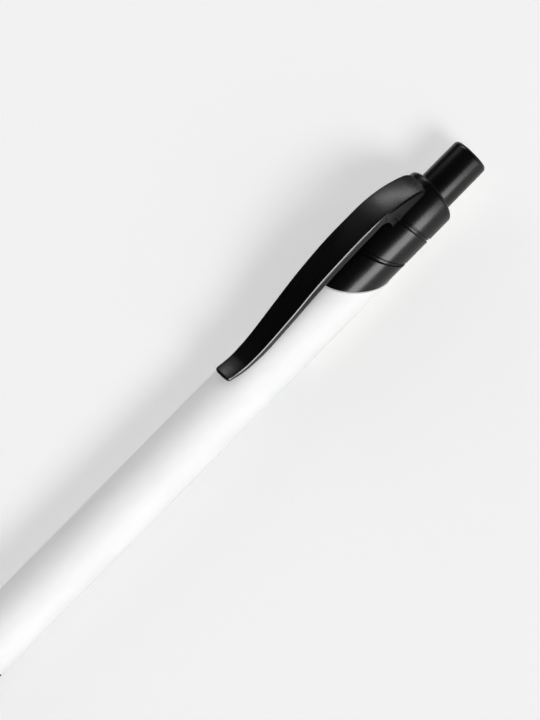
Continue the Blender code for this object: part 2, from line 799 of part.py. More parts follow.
def make_spring(collection, parent):
    """Return spring round the refill, from the nose cone's ledge to the ears."""
    radius = SPRING_INNER + SPRING_WIRE / 2
    start = LEDGE_Z + SPRING_WIRE / 2 + FIT_GAP
    end = EAR_Z - SPRING_WIRE / 2 - FIT_GAP
    points = spring_points(SPRING_TURNS, radius, start, end)
    curve = bpy.data.curves.new("return_spring", "CURVE")
    curve.dimensions = "3D"
    curve.bevel_depth = SPRING_WIRE / 2
    curve.bevel_resolution = 1
    curve.use_fill_caps = True
    spline = curve.splines.new("POLY")
    spline.points.add(len(points) - 1)
    for point, (x, y, z) in zip(spline.points, points):
        point.co = (x, y, z, 1)
    one_turn = zip(points, points[SPRING_STEPS:])
    gap = min(math.dist(low, high) for low, high in one_turn) - SPRING_WIRE
    print(f"return_spring: least gap between turns {gap * 1000:.2f} mm")
    return place("return_spring", curve, collection, parent)


def build_pen():
    """Builds every piece of the pen and lays it down."""
    remove_everything()
    pen = new_collection("ballpoint_pen")
    cutters = new_collection("ballpoint_pen_cutters")
    white = plain_material("white_plastic", (0.88, 0.88, 0.885), 0.32)
    black = plain_material("black_plastic", (0.012, 0.012, 0.013), 0.3)
    natural = plain_material("natural_plastic", (0.78, 0.78, 0.74), 0.4)
    clear = plain_material("refill_plastic", (0.82, 0.84, 0.84), 0.3)
    brass = plain_material("brass", (0.78, 0.6, 0.28), 0.28, 1.0)
    steel = plain_material("spring_steel", (0.62, 0.62, 0.63), 0.3, 1.0)
    carbide = plain_material("ball_steel", (0.7, 0.7, 0.71), 0.15, 1.0)
    ink_color = plain_material("ink_black", (0.01, 0.012, 0.05), 0.25)
    grease = plain_material("follower_grease", (0.75, 0.7, 0.5), 0.3)

    pen_axis = bpy.data.objects.new("pen_axis", None)
    pen.objects.link(pen_axis)
    pen_axis.rotation_euler = (math.pi, -math.pi / 2, 0)
    pen_axis.location = (-TOTAL_LENGTH / 2, 0, BARREL_RADIUS)

    ink_start = TUBE_FRONT_Z + POINT_SHANK + SEAT_GAP
    follower_start = ink_start + INK_LENGTH + SEAT_GAP
    settle(make_barrel(pen, pen_axis), white)
    settle(make_nose_cone(pen, pen_axis), black)
    settle(make_top_housing(pen, cutters, pen_axis), black)
    settle(make_clip(pen, pen_axis), black, 40)
    settle(make_push_button(pen, pen_axis), black)
    settle(make_thrust_tube(pen, cutters, pen_axis), natural)
    settle(make_cam_sleeve(pen, cutters, pen_axis), natural)
    settle(make_cam_rotor(pen, cutters, pen_axis), natural)
    settle(make_refill_tube(pen, cutters, pen_axis), clear)
    settle(make_refill_point(pen, pen_axis), brass)
    settle(make_ball(pen, pen_axis), carbide)
    settle(make_column("ink", ink_start, INK_LENGTH, pen, pen_axis), ink_color)
    settle(make_column("ink_follower", follower_start, FOLLOWER_LENGTH, pen, pen_axis), grease)
    spring = make_spring(pen, pen_axis)
    spring.data.materials.append(steel)
    bpy.context.view_layer.update()


build_pen()
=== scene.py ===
"""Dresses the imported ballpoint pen: fine shells, moulded and metal finishes, a stage and a camera."""

import math

import bmesh
import bpy
from mathutils import Matrix, Vector


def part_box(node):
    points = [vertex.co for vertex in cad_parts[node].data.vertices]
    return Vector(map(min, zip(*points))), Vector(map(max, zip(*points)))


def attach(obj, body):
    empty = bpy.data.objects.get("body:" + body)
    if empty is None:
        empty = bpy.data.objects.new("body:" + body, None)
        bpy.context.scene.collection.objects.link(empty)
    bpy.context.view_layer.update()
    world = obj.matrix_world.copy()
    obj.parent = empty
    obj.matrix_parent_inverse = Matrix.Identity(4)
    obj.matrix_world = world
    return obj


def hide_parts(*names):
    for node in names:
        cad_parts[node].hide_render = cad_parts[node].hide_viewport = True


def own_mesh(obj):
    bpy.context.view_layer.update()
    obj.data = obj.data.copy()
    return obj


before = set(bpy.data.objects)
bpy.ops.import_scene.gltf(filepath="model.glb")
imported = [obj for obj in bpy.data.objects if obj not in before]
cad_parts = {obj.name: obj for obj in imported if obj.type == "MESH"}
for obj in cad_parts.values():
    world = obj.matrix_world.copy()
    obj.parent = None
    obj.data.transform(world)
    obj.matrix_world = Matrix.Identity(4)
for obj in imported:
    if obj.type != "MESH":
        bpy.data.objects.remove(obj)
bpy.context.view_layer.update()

bl_info = {
    "name": "Ballpoint pen finish",
    "version": (1, 0, 0),
    "blender": (4, 5, 0),
    "location": "View3D > Sidebar > Pen",
    "description": "Builds the fine shells, finishes and stage of a retractable ballpoint pen",
    "category": "Object",
}

TIP_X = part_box("nose_cone")[0].x
BUTTON_END_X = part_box("push_button")[1].x
BARREL_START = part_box("barrel")[0].x - TIP_X
BARREL_RADIUS = (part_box("barrel")[1].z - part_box("barrel")[0].z) / 2
AXIS_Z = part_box("barrel")[0].z + BARREL_RADIUS
PEN_LENGTH = BUTTON_END_X - TIP_X
SMOOTH_ANGLE = math.radians(35)

# Corners round the turned shapes
SHELL_STEPS = 160
CAP_STEPS = 128
POINT_STEPS = 64

# Clip: share of its length from the tip, rise of its top above the barrel, width, thickness at
# the middle, thickness at the edges
CLIP_FORM = (
    (0.000, 0.00194, 0.00370, 0.00072, 0.00072),
    (0.030, 0.00153, 0.00382, 0.00076, 0.00080),
    (0.060, 0.00120, 0.00392, 0.00080, 0.00094),
    (0.095, 0.00102, 0.00405, 0.00080, 0.00105),
    (0.175, 0.00122, 0.00434, 0.00100, 0.00132),
    (0.315, 0.00226, 0.00486, 0.00140, 0.00146),
    (0.460, 0.00344, 0.00530, 0.00158, 0.00162),
    (0.605, 0.00412, 0.00557, 0.00163, 0.00167),
    (0.730, 0.00423, 0.00552, 0.00163, 0.00165),
    (0.820, 0.00399, 0.00528, 0.00160, 0.00160),
    (0.895, 0.00314, 0.00512, 0.00142, 0.00142),
    (0.955, 0.00200, 0.00485, 0.00108, 0.00108),
    (1.000, 0.00085, 0.00455, 0.00055, 0.00055),
)

# Cross-sections of the clip: round its tip's corners, along its body, round its root's corners
CLIP_STEPS = (9, 180, 9)

# Points from the middle of the clip's crown to the first row of CLIP_SIDE_FORM
CROWN_STEPS = 6

# Side of the clip, from its top down: share of the facet, soft edges outwards and down, ledges
# outwards and down, whether it is burnished
CLIP_SIDE_FORM = (
    (0.00, -1.20, 0.00, 0.0, 0.00, False),
    (0.00, -0.30, 0.12, 0.0, 0.00, True),
    (0.00, 0.35, 0.60, 0.0, 0.00, True),
    (0.28, 0.00, 0.00, 0.0, 0.00, True),
    (0.72, 0.00, 0.00, 0.0, 0.00, True),
    (1.00, -0.50, -0.90, 0.0, 0.00, True),
    (1.00, -0.15, -0.30, 0.0, 0.00, True),
    (1.00, 0.00, 0.50, 0.0, 0.00, False),
    (1.00, 0.00, 0.50, 0.7, 0.20, False),
    (1.00, 0.00, 0.90, 1.0, 0.35, False),
)

# Shares of the clip's length over which the facet narrows, and the ledge widens and goes
FACET_NARROWS = (0.70, 0.90)
LEDGE_WIDENS = (0.35, 0.50)
LEDGE_GOES = (0.70, 0.80)

# One double groove, from the button's side to the nose's: place in half widths, depth as a share
# of the groove's depth (1 is the floor, below 0 stands proud), rounding in metres
GROOVE_FORM = (
    (0.96, 0.00, 0.00005),
    (0.86, 0.85, 0.00003),
    (0.46, 0.85, 0.00003),
    (0.36, 0.30, 0.00004),
    (0.06, 0.30, 0.00004),
    (-0.06, 1.00, 0.00003),
    (-0.70, 1.00, 0.00003),
    (-0.84, -0.05, 0.00008),
    (-1.10, -0.16, 0.00030),
    (-2.20, 0.00, 0.00000),
)

# Lamp panels that show in gloss: name, turn from the camera's side towards the button, height and
# roll in degrees, size in metres, radiance, whether pieces shade it
PANELS = (
    ("low_panel", -9, 4.5, 0, (0.34, 0.28), 7.0, False),
    ("end_panel", 129, 36, 36, (0.26, 0.05), 7.0, True),
    ("end_glow", 140, 40, 36, (0.34, 0.22), 0.7, True),
)

# Outer pieces that neither light nor shade the floor round them
BOUNCELESS = ("barrel_shell", "nose_shell", "top_shell", "button_cap")

# Tones of a finish, as shares of its colour: from patch to patch, in specks, on rubbed edges
PLASTIC_TONES = (0.97, 1.02)
CLEAR_TONES = (0.96, 1.02)
METAL_TONES = (0.90, 1.04)
SPECK_TONE = 0.7
RUBBED_TONE = 1.6

# Pitch of the wave texture's bands at a scale of 1
BAND_PITCH = 0.31

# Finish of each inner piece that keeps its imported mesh
INNER_FINISHES = {
    "thrust_tube": "pen_natural",
    "cam_sleeve": "pen_natural",
    "cam_rotor": "pen_natural",
    "refill_tube": "pen_tube",
    "ink": "pen_ink",
    "ink_follower": "pen_grease",
}


def length(name, description, default):
    """A length property in metres."""
    return bpy.props.FloatProperty(
        name=name,
        description=description,
        default=default,
        min=0.0,
        precision=5,
        unit="LENGTH",
    )


def amount(name, description, default, low=0.0, high=1.0):
    """A plain number property."""
    return bpy.props.FloatProperty(
        name=name, description=description, default=default, min=low, max=high
    )


def angle(name, description, degrees):
    """An angle property."""
    return bpy.props.FloatProperty(
        name=name, description=description, default=math.radians(degrees), subtype="ANGLE"
    )


def tint(name, description, default):
    """A colour property."""
    return bpy.props.FloatVectorProperty(
        name=name,
        description=description,
        default=default,
        size=3,
        min=0.0,
        max=1.0,
        subtype="COLOR",
    )


class PenBodySettings(bpy.types.PropertyGroup):
    """Barrel and nose cone."""

    wall: length("Barrel wall", "Thickness of the white tube", 0.00075)
    edge: length("Edge", "Rounding of the plain edges", 0.0001)
    fit: length("Fit", "Gap between parts that slide into each other", 0.00015)
    lead_in: length("Lead-in", "Chamfer on the parts that push into the tube", 0.0002)
    nose_tip: length("Nose tip radius", "Outer radius at the writing end", 0.0018)
    nose_round: length("Nose tip rounding", "Rounding of the nose's front edge", 0.0003)
    nose_mouth: length("Nose mouth", "Radius of the hole for the point", 0.0013)
    mouth_depth: length("Mouth depth", "Length of the narrow hole", 0.0022)
    passage: length("Passage", "Radius of the hole behind the mouth", 0.00165)
    ledge: length("Spring ledge", "Height of the ledge that the spring stands on", 0.0065)
    chamber: length("Spring chamber", "Radius of the room for the spring", 0.0024)
    screw_length: length("Screw length", "Length of the nose's spigot in the tube", 0.009)
    screw_wall: length("Screw wall", "Wall of the nose's spigot", 0.0011)
    relief: length("Relief", "How far the spigot's wide bore runs into the nose", 0.004)


class PenTopSettings(bpy.types.PropertyGroup):
    """Black top with its leaning rings."""

    height: length("Height", "Seam to rim along the axis", 0.01901)
    step: length("Step", "How far the top lies inside the barrel's skin", 0.00015)
    seam_gap: length("Seam gap", "Gap between the barrel and its neighbours", 0.00005)
    seam_edge: length("Seam edge", "Rounding of the top's edge at the seam", 0.00015)
    seam_lean: amount("Seam lean", "Slope of the seam", 1.03, -2, 2)
    lower_lean: amount("Lower groove lean", "Slope of the lower groove", 0.49, -2, 2)
    upper_lean: amount("Upper groove lean", "Slope of the upper groove", 0.165, -2, 2)
    rim_lean: amount("Rim lean", "Slope of the rim", -0.21, -2, 2)
    lower_rise: length("Lower groove", "Height of the lower groove over the seam", 0.00605)
    upper_rise: length("Upper groove", "Height of the upper groove over the seam", 0.01255)
    groove_width: length("Groove width", "Width of each double groove", 0.0009)
    groove_depth: length("Groove depth", "Depth of each double groove", 0.00026)
    shoulder: length("Shoulder", "Rounding of the shoulder", 0.0013)
    rim_edge: length("Rim edge", "Rounding of the rim's inner edge", 0.00008)
    spigot_wall: length("Spigot wall", "Wall of the spigot in the barrel", 0.0008)
    spigot_length: length("Spigot length", "Length of the spigot past the seam", 0.008)
    partition: length("Partition", "Thickness of the partition under the button", 0.0015)


class PenClipSettings(bpy.types.PropertyGroup):
    """Clip and the web that carries it."""

    clip_length: length("Length", "Tip to root along the pen", 0.0464)
    root_drop: length("Root drop", "How far the root lies below the rim", 0.0005)
    crown: length("Crown", "How much higher the middle is than the sides", 0.00012)
    edge: length("Edge", "Rounding of the clip's lower edges and ends", 0.00018)
    facet: length("Facet", "Width of the sloping facet along each upper edge", 0.00029)
    ledge: length("Ledge", "Width of the narrow ledge under the facet", 0.00008)
    facet_turn: angle("Facet turn", "How far the facet faces up", 30)
    soft_edge: length("Soft edge", "Rounding beside the facet", 0.00006)
    wall: length("Side wall", "Thickness of the walls that hang under the clip", 0.0006)
    plate: length("Root plate", "Thickness of the clip where the web carries it", 0.0004)
    plate_start: amount("Root plate start", "Share of the length where it begins to thin", 0.803)
    plate_end: amount("Root plate end", "Share of the length where it has thinned", 0.827)
    undercut: length("Undercut", "How far the root's sides slope in under its top", 0.0003)
    tip_corner: length("Tip corner", "Rounding of the tip's corners", 0.00075)
    tip_round: length("Tip rounding", "Rounding of the tip's end", 0.00036)
    root_corner: length("Root corner", "Rounding of the root's corners", 0.00110)
    web_width: length("Web width", "Thickness of the web across the pen", 0.0041)
    web_length: length("Web length", "Length of the web", 0.0083)
    web_back: length("Web back", "How far the web ends before the clip's root", 0.0002)
    web_throat: length("Web throat", "How far the web's front curves out under the clip", 0.0011)
    web_toe: length("Web toe", "How far the web's front curves out at its foot", 0.0002)
    web_sink: length("Web sink", "How far the web's foot lies inside the top's skin", 0.0004)
    web_gap: length("Web gap", "Seam between the web and the clip", 0.00012)
    web_inset: length("Web inset", "How far the web's top lies inside the clip's sides", 0.00004)
    web_chamfer: length("Web chamfer", "Chamfer along the web's top", 0.00042)
    web_edge: length("Web edge", "Rounding of the web's edges", 0.00012)
    hinge_back: length("Hinge", "How far the clip bends before its root", 0.0016)
    lift: angle("Lift", "How far the clip lifts, which the web's top leaves room for", 5)


class PenButtonSettings(bpy.types.PropertyGroup):
    """Push button."""

    show: length("Show", "How far the button stands out of the top", 0.00974)
    stroke: length("Stroke", "Travel of the button", 0.0070)
    radius: length("Radius", "Radius of the button", 0.0035)
    taper: length("Taper", "How much slimmer the button's end is", 0.00005)
    end_round: length("End rounding", "Rounding of the button's end", 0.00075)
    dome: length("Dome", "Height of the dome on the end", 0.0002)
    dome_round: length("Dome rounding", "How softly the flat runs into the dome", 0.004)
    flat: length("Flat", "Radius of the flat on the dome", 0.0014)
    end_wall: length("End wall", "Thickness of the button's end", 0.0018)
    engaged: length("Engaged", "How far the button reaches into the top at rest", 0.0025)
    socket: length("Socket", "Radius of the socket for the stem", 0.0023)


class PenPointSettings(bpy.types.PropertyGroup):
    """Point, ball and return spring."""

    inset: length("Inset", "How far the ball lies inside the nose at rest", 0.0012)
    ball: length("Ball", "Radius of the ball", 0.0005)
    ball_gap: length("Ball gap", "Play of the ball in its socket", 0.00005)
    radius: length("Radius", "Radius of the brass point", 0.00115)
    show: length("Length", "Length of the point in front of the tube", 0.0110)
    cone: length("Cone", "Length of the cone", 0.0026)
    cone_round: length("Cone rounding", "How softly the cone runs into the point", 0.0006)
    lip: length("Lip", "Thickness of the rolled edge round the ball", 0.00009)
    lip_round: length("Lip rounding", "Rounding of the rolled edge", 0.00004)
    lip_reach: length("Lip reach", "How far the rolled edge passes the ball's middle", 0.0003)
    shank: length("Shank", "Length of the shank in the tube", 0.0040)
    shank_radius: length("Shank radius", "Radius of the shank", 0.00085)
    channel: length("Channel", "Radius of the ink channel", 0.0003)
    wire: length("Wire", "Thickness of the spring's wire", 0.0004)
    coil_radius: length("Coil radius", "Radius to the middle of the wire", 0.0019)
    coil_length: length("Coil length", "Length of the spring as fitted", 0.0200)
    end_pitch: length("End pitch", "Pitch of the spring's end turns", 0.00085)
    travel: length("Travel", "How far the refill moves out and presses the spring", 0.0060)
    turns: bpy.props.IntProperty(name="Turns", description="Turns of the spring", default=13, min=3)


class PenFinishSettings(bpy.types.PropertyGroup):
    """Colours and surface of the materials."""

    white: tint("White", "White plastic of the barrel", (0.82, 0.82, 0.825))
    black: tint("Black", "Black plastic of the top, clip, button and nose", (0.0018, 0.0018, 0.0019))
    natural: tint("Natural", "Unpainted plastic of the click cam", (0.78, 0.78, 0.74))
    tube: tint("Tube", "Plastic of the refill's tube", (0.82, 0.84, 0.84))
    brass: tint("Brass", "Brass of the point", (0.78, 0.60, 0.28))
    steel: tint("Steel", "Steel of the spring", (0.62, 0.62, 0.63))
    ball: tint("Ball", "Hard metal of the ball", (0.70, 0.70, 0.71))
    ink: tint("Ink", "Ink in the refill", (0.010, 0.012, 0.050))
    grease: tint("Grease", "Grease behind the ink", (0.75, 0.70, 0.50))
    white_roughness: amount("White roughness", "Roughness of the barrel", 0.62)
    black_roughness: amount("Black roughness", "Roughness of the black parts", 0.28)
    grain: length("Grain", "Size of the mould's fine grain", 0.00010)
    mottle: length("Mottle", "Size of the soft patches in the plastic", 0.0030)


class PenStageSettings(bpy.types.PropertyGroup):
    """Floor, lamps and camera."""

    floor_colour: tint("Floor", "Colour of the floor", (0.95, 0.95, 0.95))
    floor_lift: amount("Floor lift", "How much paler the floor is to the camera alone", 0.170)
    floor_gloss: amount("Floor in gloss", "How bright the floor shows in glossy surfaces", 0.58)
    sky_gloss: amount("Sky in gloss", "How bright the sky shows in glossy surfaces", 0.015)
    floor_radius: length("Floor radius", "Radius of the floor", 4.0)
    key_power: amount("Key", "Strength of the soft key lamp", 1.32, 0, 20)
    key_height: angle("Key height", "Height of the key lamp over the floor", 32)
    key_turn: angle("Key turn", "Turn of the key lamp towards the button", -4)
    key_softness: angle("Key softness", "Angular size of the key lamp", 15)
    fill: amount("Fill", "Strength of the even light from all round", 0.46, 0, 5)
    card: amount("Card", "Strength of the low card on the camera's side", 0.31, 0, 5)
    far_card: amount("Far card", "Strength of the low card on the far side", 0.29, 0, 5)
    card_softness: angle("Card softness", "Angular size of the cards", 50)
    camera_height: angle("Camera height", "Height of the camera over the floor", 55)
    camera_lead: angle("Camera lead", "How far the camera is moved towards the nose", 2.6)
    pen_slope: angle("Pen's slope", "Angle at which the pen rises across the picture", 45.4)
    lens: bpy.props.FloatProperty(
        name="Lens", description="Focal length in millimetres", default=180, min=20
    )
    frame_height: length("Frame height", "What the picture takes in along its long side", 0.1212)
    focus: length("Focus", "Place along the pen that the picture is centred on", 0.09313)
    focus_drop: length("Focus drop", "How far under the axis the picture is centred", 0.00013)


def at(height, side, rise):
    """The point at a height from the nose's tip, to the side of the axis and above it."""
    return Vector((TIP_X + height, side, AXIS_Z + rise))


def added(name, data):
    """Adds an object for a mesh, curve, lamp or camera to the scene."""
    thing = bpy.data.objects.new(name, data)
    bpy.context.scene.collection.objects.link(thing)
    return thing


def finished_object(name, mesh, body, finish):
    """Adds an object for a mesh, shades and finishes it and lets it ride on its body."""
    mesh.name = name
    piece = added(name, mesh)
    mesh.shade_smooth()
    mesh.set_sharp_from_angle(angle=SMOOTH_ANGLE)
    mesh.materials.clear()
    mesh.materials.append(finish_named(finish))
    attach(piece, body)
    return piece


def mesh_from(shape):
    """Turns a shape in work into a mesh."""
    mesh = bpy.data.meshes.new("shape")
    shape.to_mesh(mesh)
    shape.free()
    return mesh


def made(shape):
    """Turns a shape in work into a mesh with its faces outwards."""
    bmesh.ops.remove_doubles(shape, verts=shape.verts, dist=1e-7)
    bmesh.ops.recalc_face_normals(shape, faces=shape.faces)
    return mesh_from(shape)


def filleted(corners, arc_steps=5, is_loop=True):
    """Rounds the corners of an outline of (height, radius, fillet) points."""
    points = []
    count = len(corners)
    straight = math.radians(89)
    for index, (height, radius, fillet) in enumerate(corners):
        here = Vector((height, radius))
        is_end = not is_loop and index in (0, count - 1)
        if fillet <= 0 or is_end:
            points.append(here)
            continue
        before = Vector(corners[index - 1][:2]) - here
        after = Vector(corners[(index + 1) % count][:2]) - here
        half = before.angle(after) / 2
        if half > straight:
            points.append(here)
            continue
        reach = min(fillet / math.tan(half), 0.49 * before.length, 0.49 * after.length)
        bend = reach * math.tan(half)
        inwards = (before.normalized() + after.normalized()).normalized()
        center = here + inwards * (bend / math.sin(half))
        start = here + before.normalized() * reach - center
        end = here + after.normalized() * reach - center
        sweep = math.pi - 2 * half
        for step in range(arc_steps + 1):
            share = step / arc_steps
            spoke = start * math.sin((1 - share) * sweep) + end * math.sin(share * sweep)
            points.append(center + spoke / math.sin(sweep))
    return points


def turned_mesh(outline, steps, lean=None):
    """Turns an outline of (height, radius) points about the pen's axis, each ring leaning its way."""
    shape = bmesh.new()
    rings = []
    for height, radius in outline:
        if radius < 1e-7:
            rings.append([shape.verts.new(at(height, 0, 0))])
            continue
        slope = lean(height, radius) if lean else 0
        ring = []
        for step in range(steps):
            turn = 2 * math.pi * step / steps
            rise = radius * math.cos(turn)
            ring.append(shape.verts.new(at(height - slope * rise, radius * math.sin(turn), rise)))
        rings.append(ring)
    pairs = list(zip(rings, rings[1:]))
    if len(rings[0]) > 1 and len(rings[-1]) > 1:
        pairs.append((rings[-1], rings[0]))
    for first, second in pairs:
        for step in range(steps):
            after = (step + 1) % steps
            corners = [
                first[step % len(first)],
                first[after % len(first)],
                second[after % len(second)],
                second[step % len(second)],
            ]
            corners = list(dict.fromkeys(corners))
            if len(corners) > 2:
                shape.faces.new(corners)
    bmesh.ops.recalc_face_normals(shape, faces=shape.faces)
    return mesh_from(shape)


def add_skin(shape, rows):
    """Joins closed rows of vertices into a skin that is open at both ends."""
    count = len(rows[0])
    for first, second in zip(rows, rows[1:]):
        for k in range(count):
            after = (k + 1) % count
            shape.faces.new((first[k], first[after], second[after], second[k]))


def loft(shape, rows):
    """Joins closed rows of vertices into a skin and closes both ends with a fan."""
    add_skin(shape, rows)
    count = len(rows[0])
    for row in (rows[0], rows[-1]):
        middle = shape.verts.new(sum((point.co for point in row), Vector()) / count)
        for k in range(count):
            shape.faces.new((row[k], row[(k + 1) % count], middle))


def rim_height():
    """Height of the rim on the axis."""
    return PEN_LENGTH - bpy.context.scene.pen_button.show


def seam_height():
    """Height of the seam on the axis."""
    return rim_height() - bpy.context.scene.pen_top.height


def root_height():
    """Height of the clip's root."""
    return rim_height() - bpy.context.scene.pen_clip.root_drop


def lean_at(height):
    """How far a ring at this height leans, evenly between the seam, the grooves and the rim."""
    top = bpy.context.scene.pen_top
    seam = seam_height()
    rings = (
        (seam, top.seam_lean),
        (seam + top.lower_rise, top.lower_lean),
        (seam + top.upper_rise, top.upper_lean),
        (rim_height(), top.rim_lean),
    )
    if height <= seam:
        return top.seam_lean
    for (low, low_lean), (high, high_lean) in zip(rings, rings[1:]):
        if height <= high:
            return low_lean + (high_lean - low_lean) * (height - low) / (high - low)
    return top.rim_lean


def eased(value, start, end):
    """Rises softly from 0 at the start to 1 at the end."""
    part = min(max((value - start) / (end - start), 0), 1)
    return part * part * (3 - 2 * part)


def clip_at(share):
    """Rise, width and both thicknesses of the clip, on a smooth curve through its form."""
    last = len(CLIP_FORM) - 1
    row = 0
    while row < last - 1 and share > CLIP_FORM[row + 1][0]:
        row += 1
    before = CLIP_FORM[max(row - 1, 0)]
    start = CLIP_FORM[row]
    end = CLIP_FORM[row + 1]
    after = CLIP_FORM[min(row + 2, last)]
    span = end[0] - start[0]
    part = (share - start[0]) / span
    values = []
    for column in range(1, len(start)):
        slope_in = (end[column] - before[column]) / (end[0] - before[0]) * span
        slope_out = (after[column] - start[column]) / (after[0] - start[0]) * span
        values.append(
            (2 * part**3 - 3 * part**2 + 1) * start[column]
            + (part**3 - 2 * part**2 + part) * slope_in
            + (3 * part**2 - 2 * part**3) * end[column]
            + (part**3 - part**2) * slope_out
        )
    clip = bpy.context.scene.pen_clip
    thinned = eased(share, clip.plate_start, clip.plate_end)
    rise, width, middle, edge = values
    middle += (clip.plate - middle) * thinned
    edge += (clip.plate - edge) * thinned
    return rise, width, middle, edge


def clip_height(share):
    """Height along the pen of a place on the clip, given as a share of its length from its tip."""
    return root_height() - bpy.context.scene.pen_clip.clip_length * (1 - share)


def clip_share(height):
    """Share of the clip's length from its tip at a height along the pen."""
    return 1 - (root_height() - height) / bpy.context.scene.pen_clip.clip_length


def clip_slope(share):
    """Slope of the clip's top along the pen."""
    nearby = 0.004
    low = max(share - nearby, 0)
    high = min(share + nearby, 1)
    run = (high - low) * bpy.context.scene.pen_clip.clip_length
    return (clip_at(high)[0] - clip_at(low)[0]) / run


def clip_underside(height):
    """Distance of the clip's underside from the pen's axis at a height along the pen."""
    share = clip_share(height)
    rise, _, thickness, _ = clip_at(share)
    return BARREL_RADIUS + rise - thickness * math.hypot(1, clip_slope(share))


def clip_half_width(share):
    """Half the clip's width, drawn in round the corners of its tip and its root."""
    clip = bpy.context.scene.pen_clip
    half = clip_at(share)[1] / 2
    for corner, from_end in (
        (clip.tip_corner, share * clip.clip_length),
        (clip.root_corner, (1 - share) * clip.clip_length),
    ):
        if from_end < corner:
            half += math.sqrt(max(corner**2 - (corner - from_end) ** 2, 0)) - corner
    return half


def put(tree, socket, value):
    """Links a socket to a value, or writes a plain number or colour into it."""
    if isinstance(value, bpy.types.NodeSocket):
        tree.links.new(value, socket)
    else:
        socket.default_value = value


def sums(tree, operation, first, second=0.0, third=0.0):
    """A Math node."""
    node = tree.nodes.new("ShaderNodeMath")
    node.operation = operation
    for socket, value in zip(node.inputs, (first, second, third)):
        put(tree, socket, value)
    return node.outputs[0]


def mixed(tree, factor, first, second):
    """A Mix node for colours."""
    node = tree.nodes.new("ShaderNodeMix")
    node.data_type = "RGBA"
    put(tree, node.inputs["Factor"], factor)
    put(tree, node.inputs[6], first)
    put(tree, node.inputs[7], second)
    return node.outputs[2]


def noise(tree, place, scale, detail=2.0, roughness=0.5):
    """A Noise Texture's value."""
    node = tree.nodes.new("ShaderNodeTexNoise")
    put(tree, node.inputs["Vector"], place)
    put(tree, node.inputs["Scale"], scale)
    put(tree, node.inputs["Detail"], detail)
    put(tree, node.inputs["Roughness"], roughness)
    return node.outputs["Fac"]


def stretched(tree, place, scale):
    """A place stretched by a factor along each axis."""
    node = tree.nodes.new("ShaderNodeVectorMath")
    node.operation = "MULTIPLY"
    put(tree, node.inputs[0], place)
    put(tree, node.inputs[1], scale)
    return node.outputs[0]


def ranged(tree, value, low, high, new_low=0.0, new_high=1.0):
    """Maps a range of values to another, clamped."""
    node = tree.nodes.new("ShaderNodeMapRange")
    for socket, number in zip(node.inputs, (value, low, high, new_low, new_high)):
        put(tree, socket, number)
    return node.outputs[0]


def new_group(name, inputs, outputs):
    """Starts a node group and returns its tree, its input node and its output node."""
    tree = bpy.data.node_groups.new(name, "ShaderNodeTree")
    for label, kind, default in inputs:
        socket = tree.interface.new_socket(name=label, in_out="INPUT", socket_type=kind)
        if default is not None:
            socket.default_value = default
    for label, kind in outputs:
        tree.interface.new_socket(name=label, in_out="OUTPUT", socket_type=kind)
    return tree, tree.nodes.new("NodeGroupInput"), tree.nodes.new("NodeGroupOutput")


def moulded_surface_group():
    """Soft patches and the fine grain that a mould leaves in plastic."""
    number = "NodeSocketFloat"
    tree, given, out = new_group(
        "moulded_surface",
        (
            ("Place", "NodeSocketVector", None),
            ("Patch Size", number, 0.003),
            ("Grain Size", number, 0.0001),
        ),
        (("Patches", number), ("Grain", number), ("Specks", number)),
    )
    patch_scale = sums(tree, "DIVIDE", 1.0, given.outputs["Patch Size"])
    grain_scale = sums(tree, "DIVIDE", 1.0, given.outputs["Grain Size"])
    long_patches = stretched(tree, given.outputs["Place"], (0.35, 1.0, 1.0))
    patches = noise(tree, long_patches, patch_scale, 3.0, 0.55)
    grain = noise(tree, given.outputs["Place"], grain_scale, 1.0, 0.5)
    cells = tree.nodes.new("ShaderNodeTexVoronoi")
    cells.feature = "F1"
    put(tree, cells.inputs["Vector"], given.outputs["Place"])
    put(tree, cells.inputs["Scale"], sums(tree, "MULTIPLY", grain_scale, 0.12))
    specks = ranged(tree, cells.outputs["Distance"], 0.10, 0.04)
    put(tree, out.inputs["Patches"], ranged(tree, patches, 0.3, 0.7))
    put(tree, out.inputs["Grain"], grain)
    put(tree, out.inputs["Specks"], specks)
    return tree


def drag_lines_group():
    """Hair-fine lines along the pen, from pockets and fingers."""
    number = "NodeSocketFloat"
    tree, given, out = new_group(
        "drag_lines",
        (
            ("Place", "NodeSocketVector", None),
            ("Line Length", number, 0.012),
            ("Line Width", number, 0.00012),
            ("Share", number, 0.1),
        ),
        (("Lines", number), ("Depth", number)),
    )
    along = sums(tree, "DIVIDE", 1.0, given.outputs["Line Length"])
    across = sums(tree, "DIVIDE", 1.0, given.outputs["Line Width"])
    join = tree.nodes.new("ShaderNodeCombineXYZ")
    put(tree, join.inputs["X"], along)
    put(tree, join.inputs["Y"], across)
    put(tree, join.inputs["Z"], across)
    place = stretched(tree, given.outputs["Place"], join.outputs[0])
    fine = noise(tree, place, 1.0, 2.0, 0.6)
    patch = noise(tree, given.outputs["Place"], 220.0, 1.0, 0.5)
    limit = sums(tree, "SUBTRACT", 0.78, given.outputs["Share"])
    lines = ranged(tree, fine, limit, sums(tree, "ADD", limit, 0.06))
    lines = sums(tree, "MULTIPLY", lines, ranged(tree, patch, 0.42, 0.6))
    put(tree, out.inputs["Lines"], lines)
    put(tree, out.inputs["Depth"], sums(tree, "MULTIPLY", lines, -1.0))
    return tree


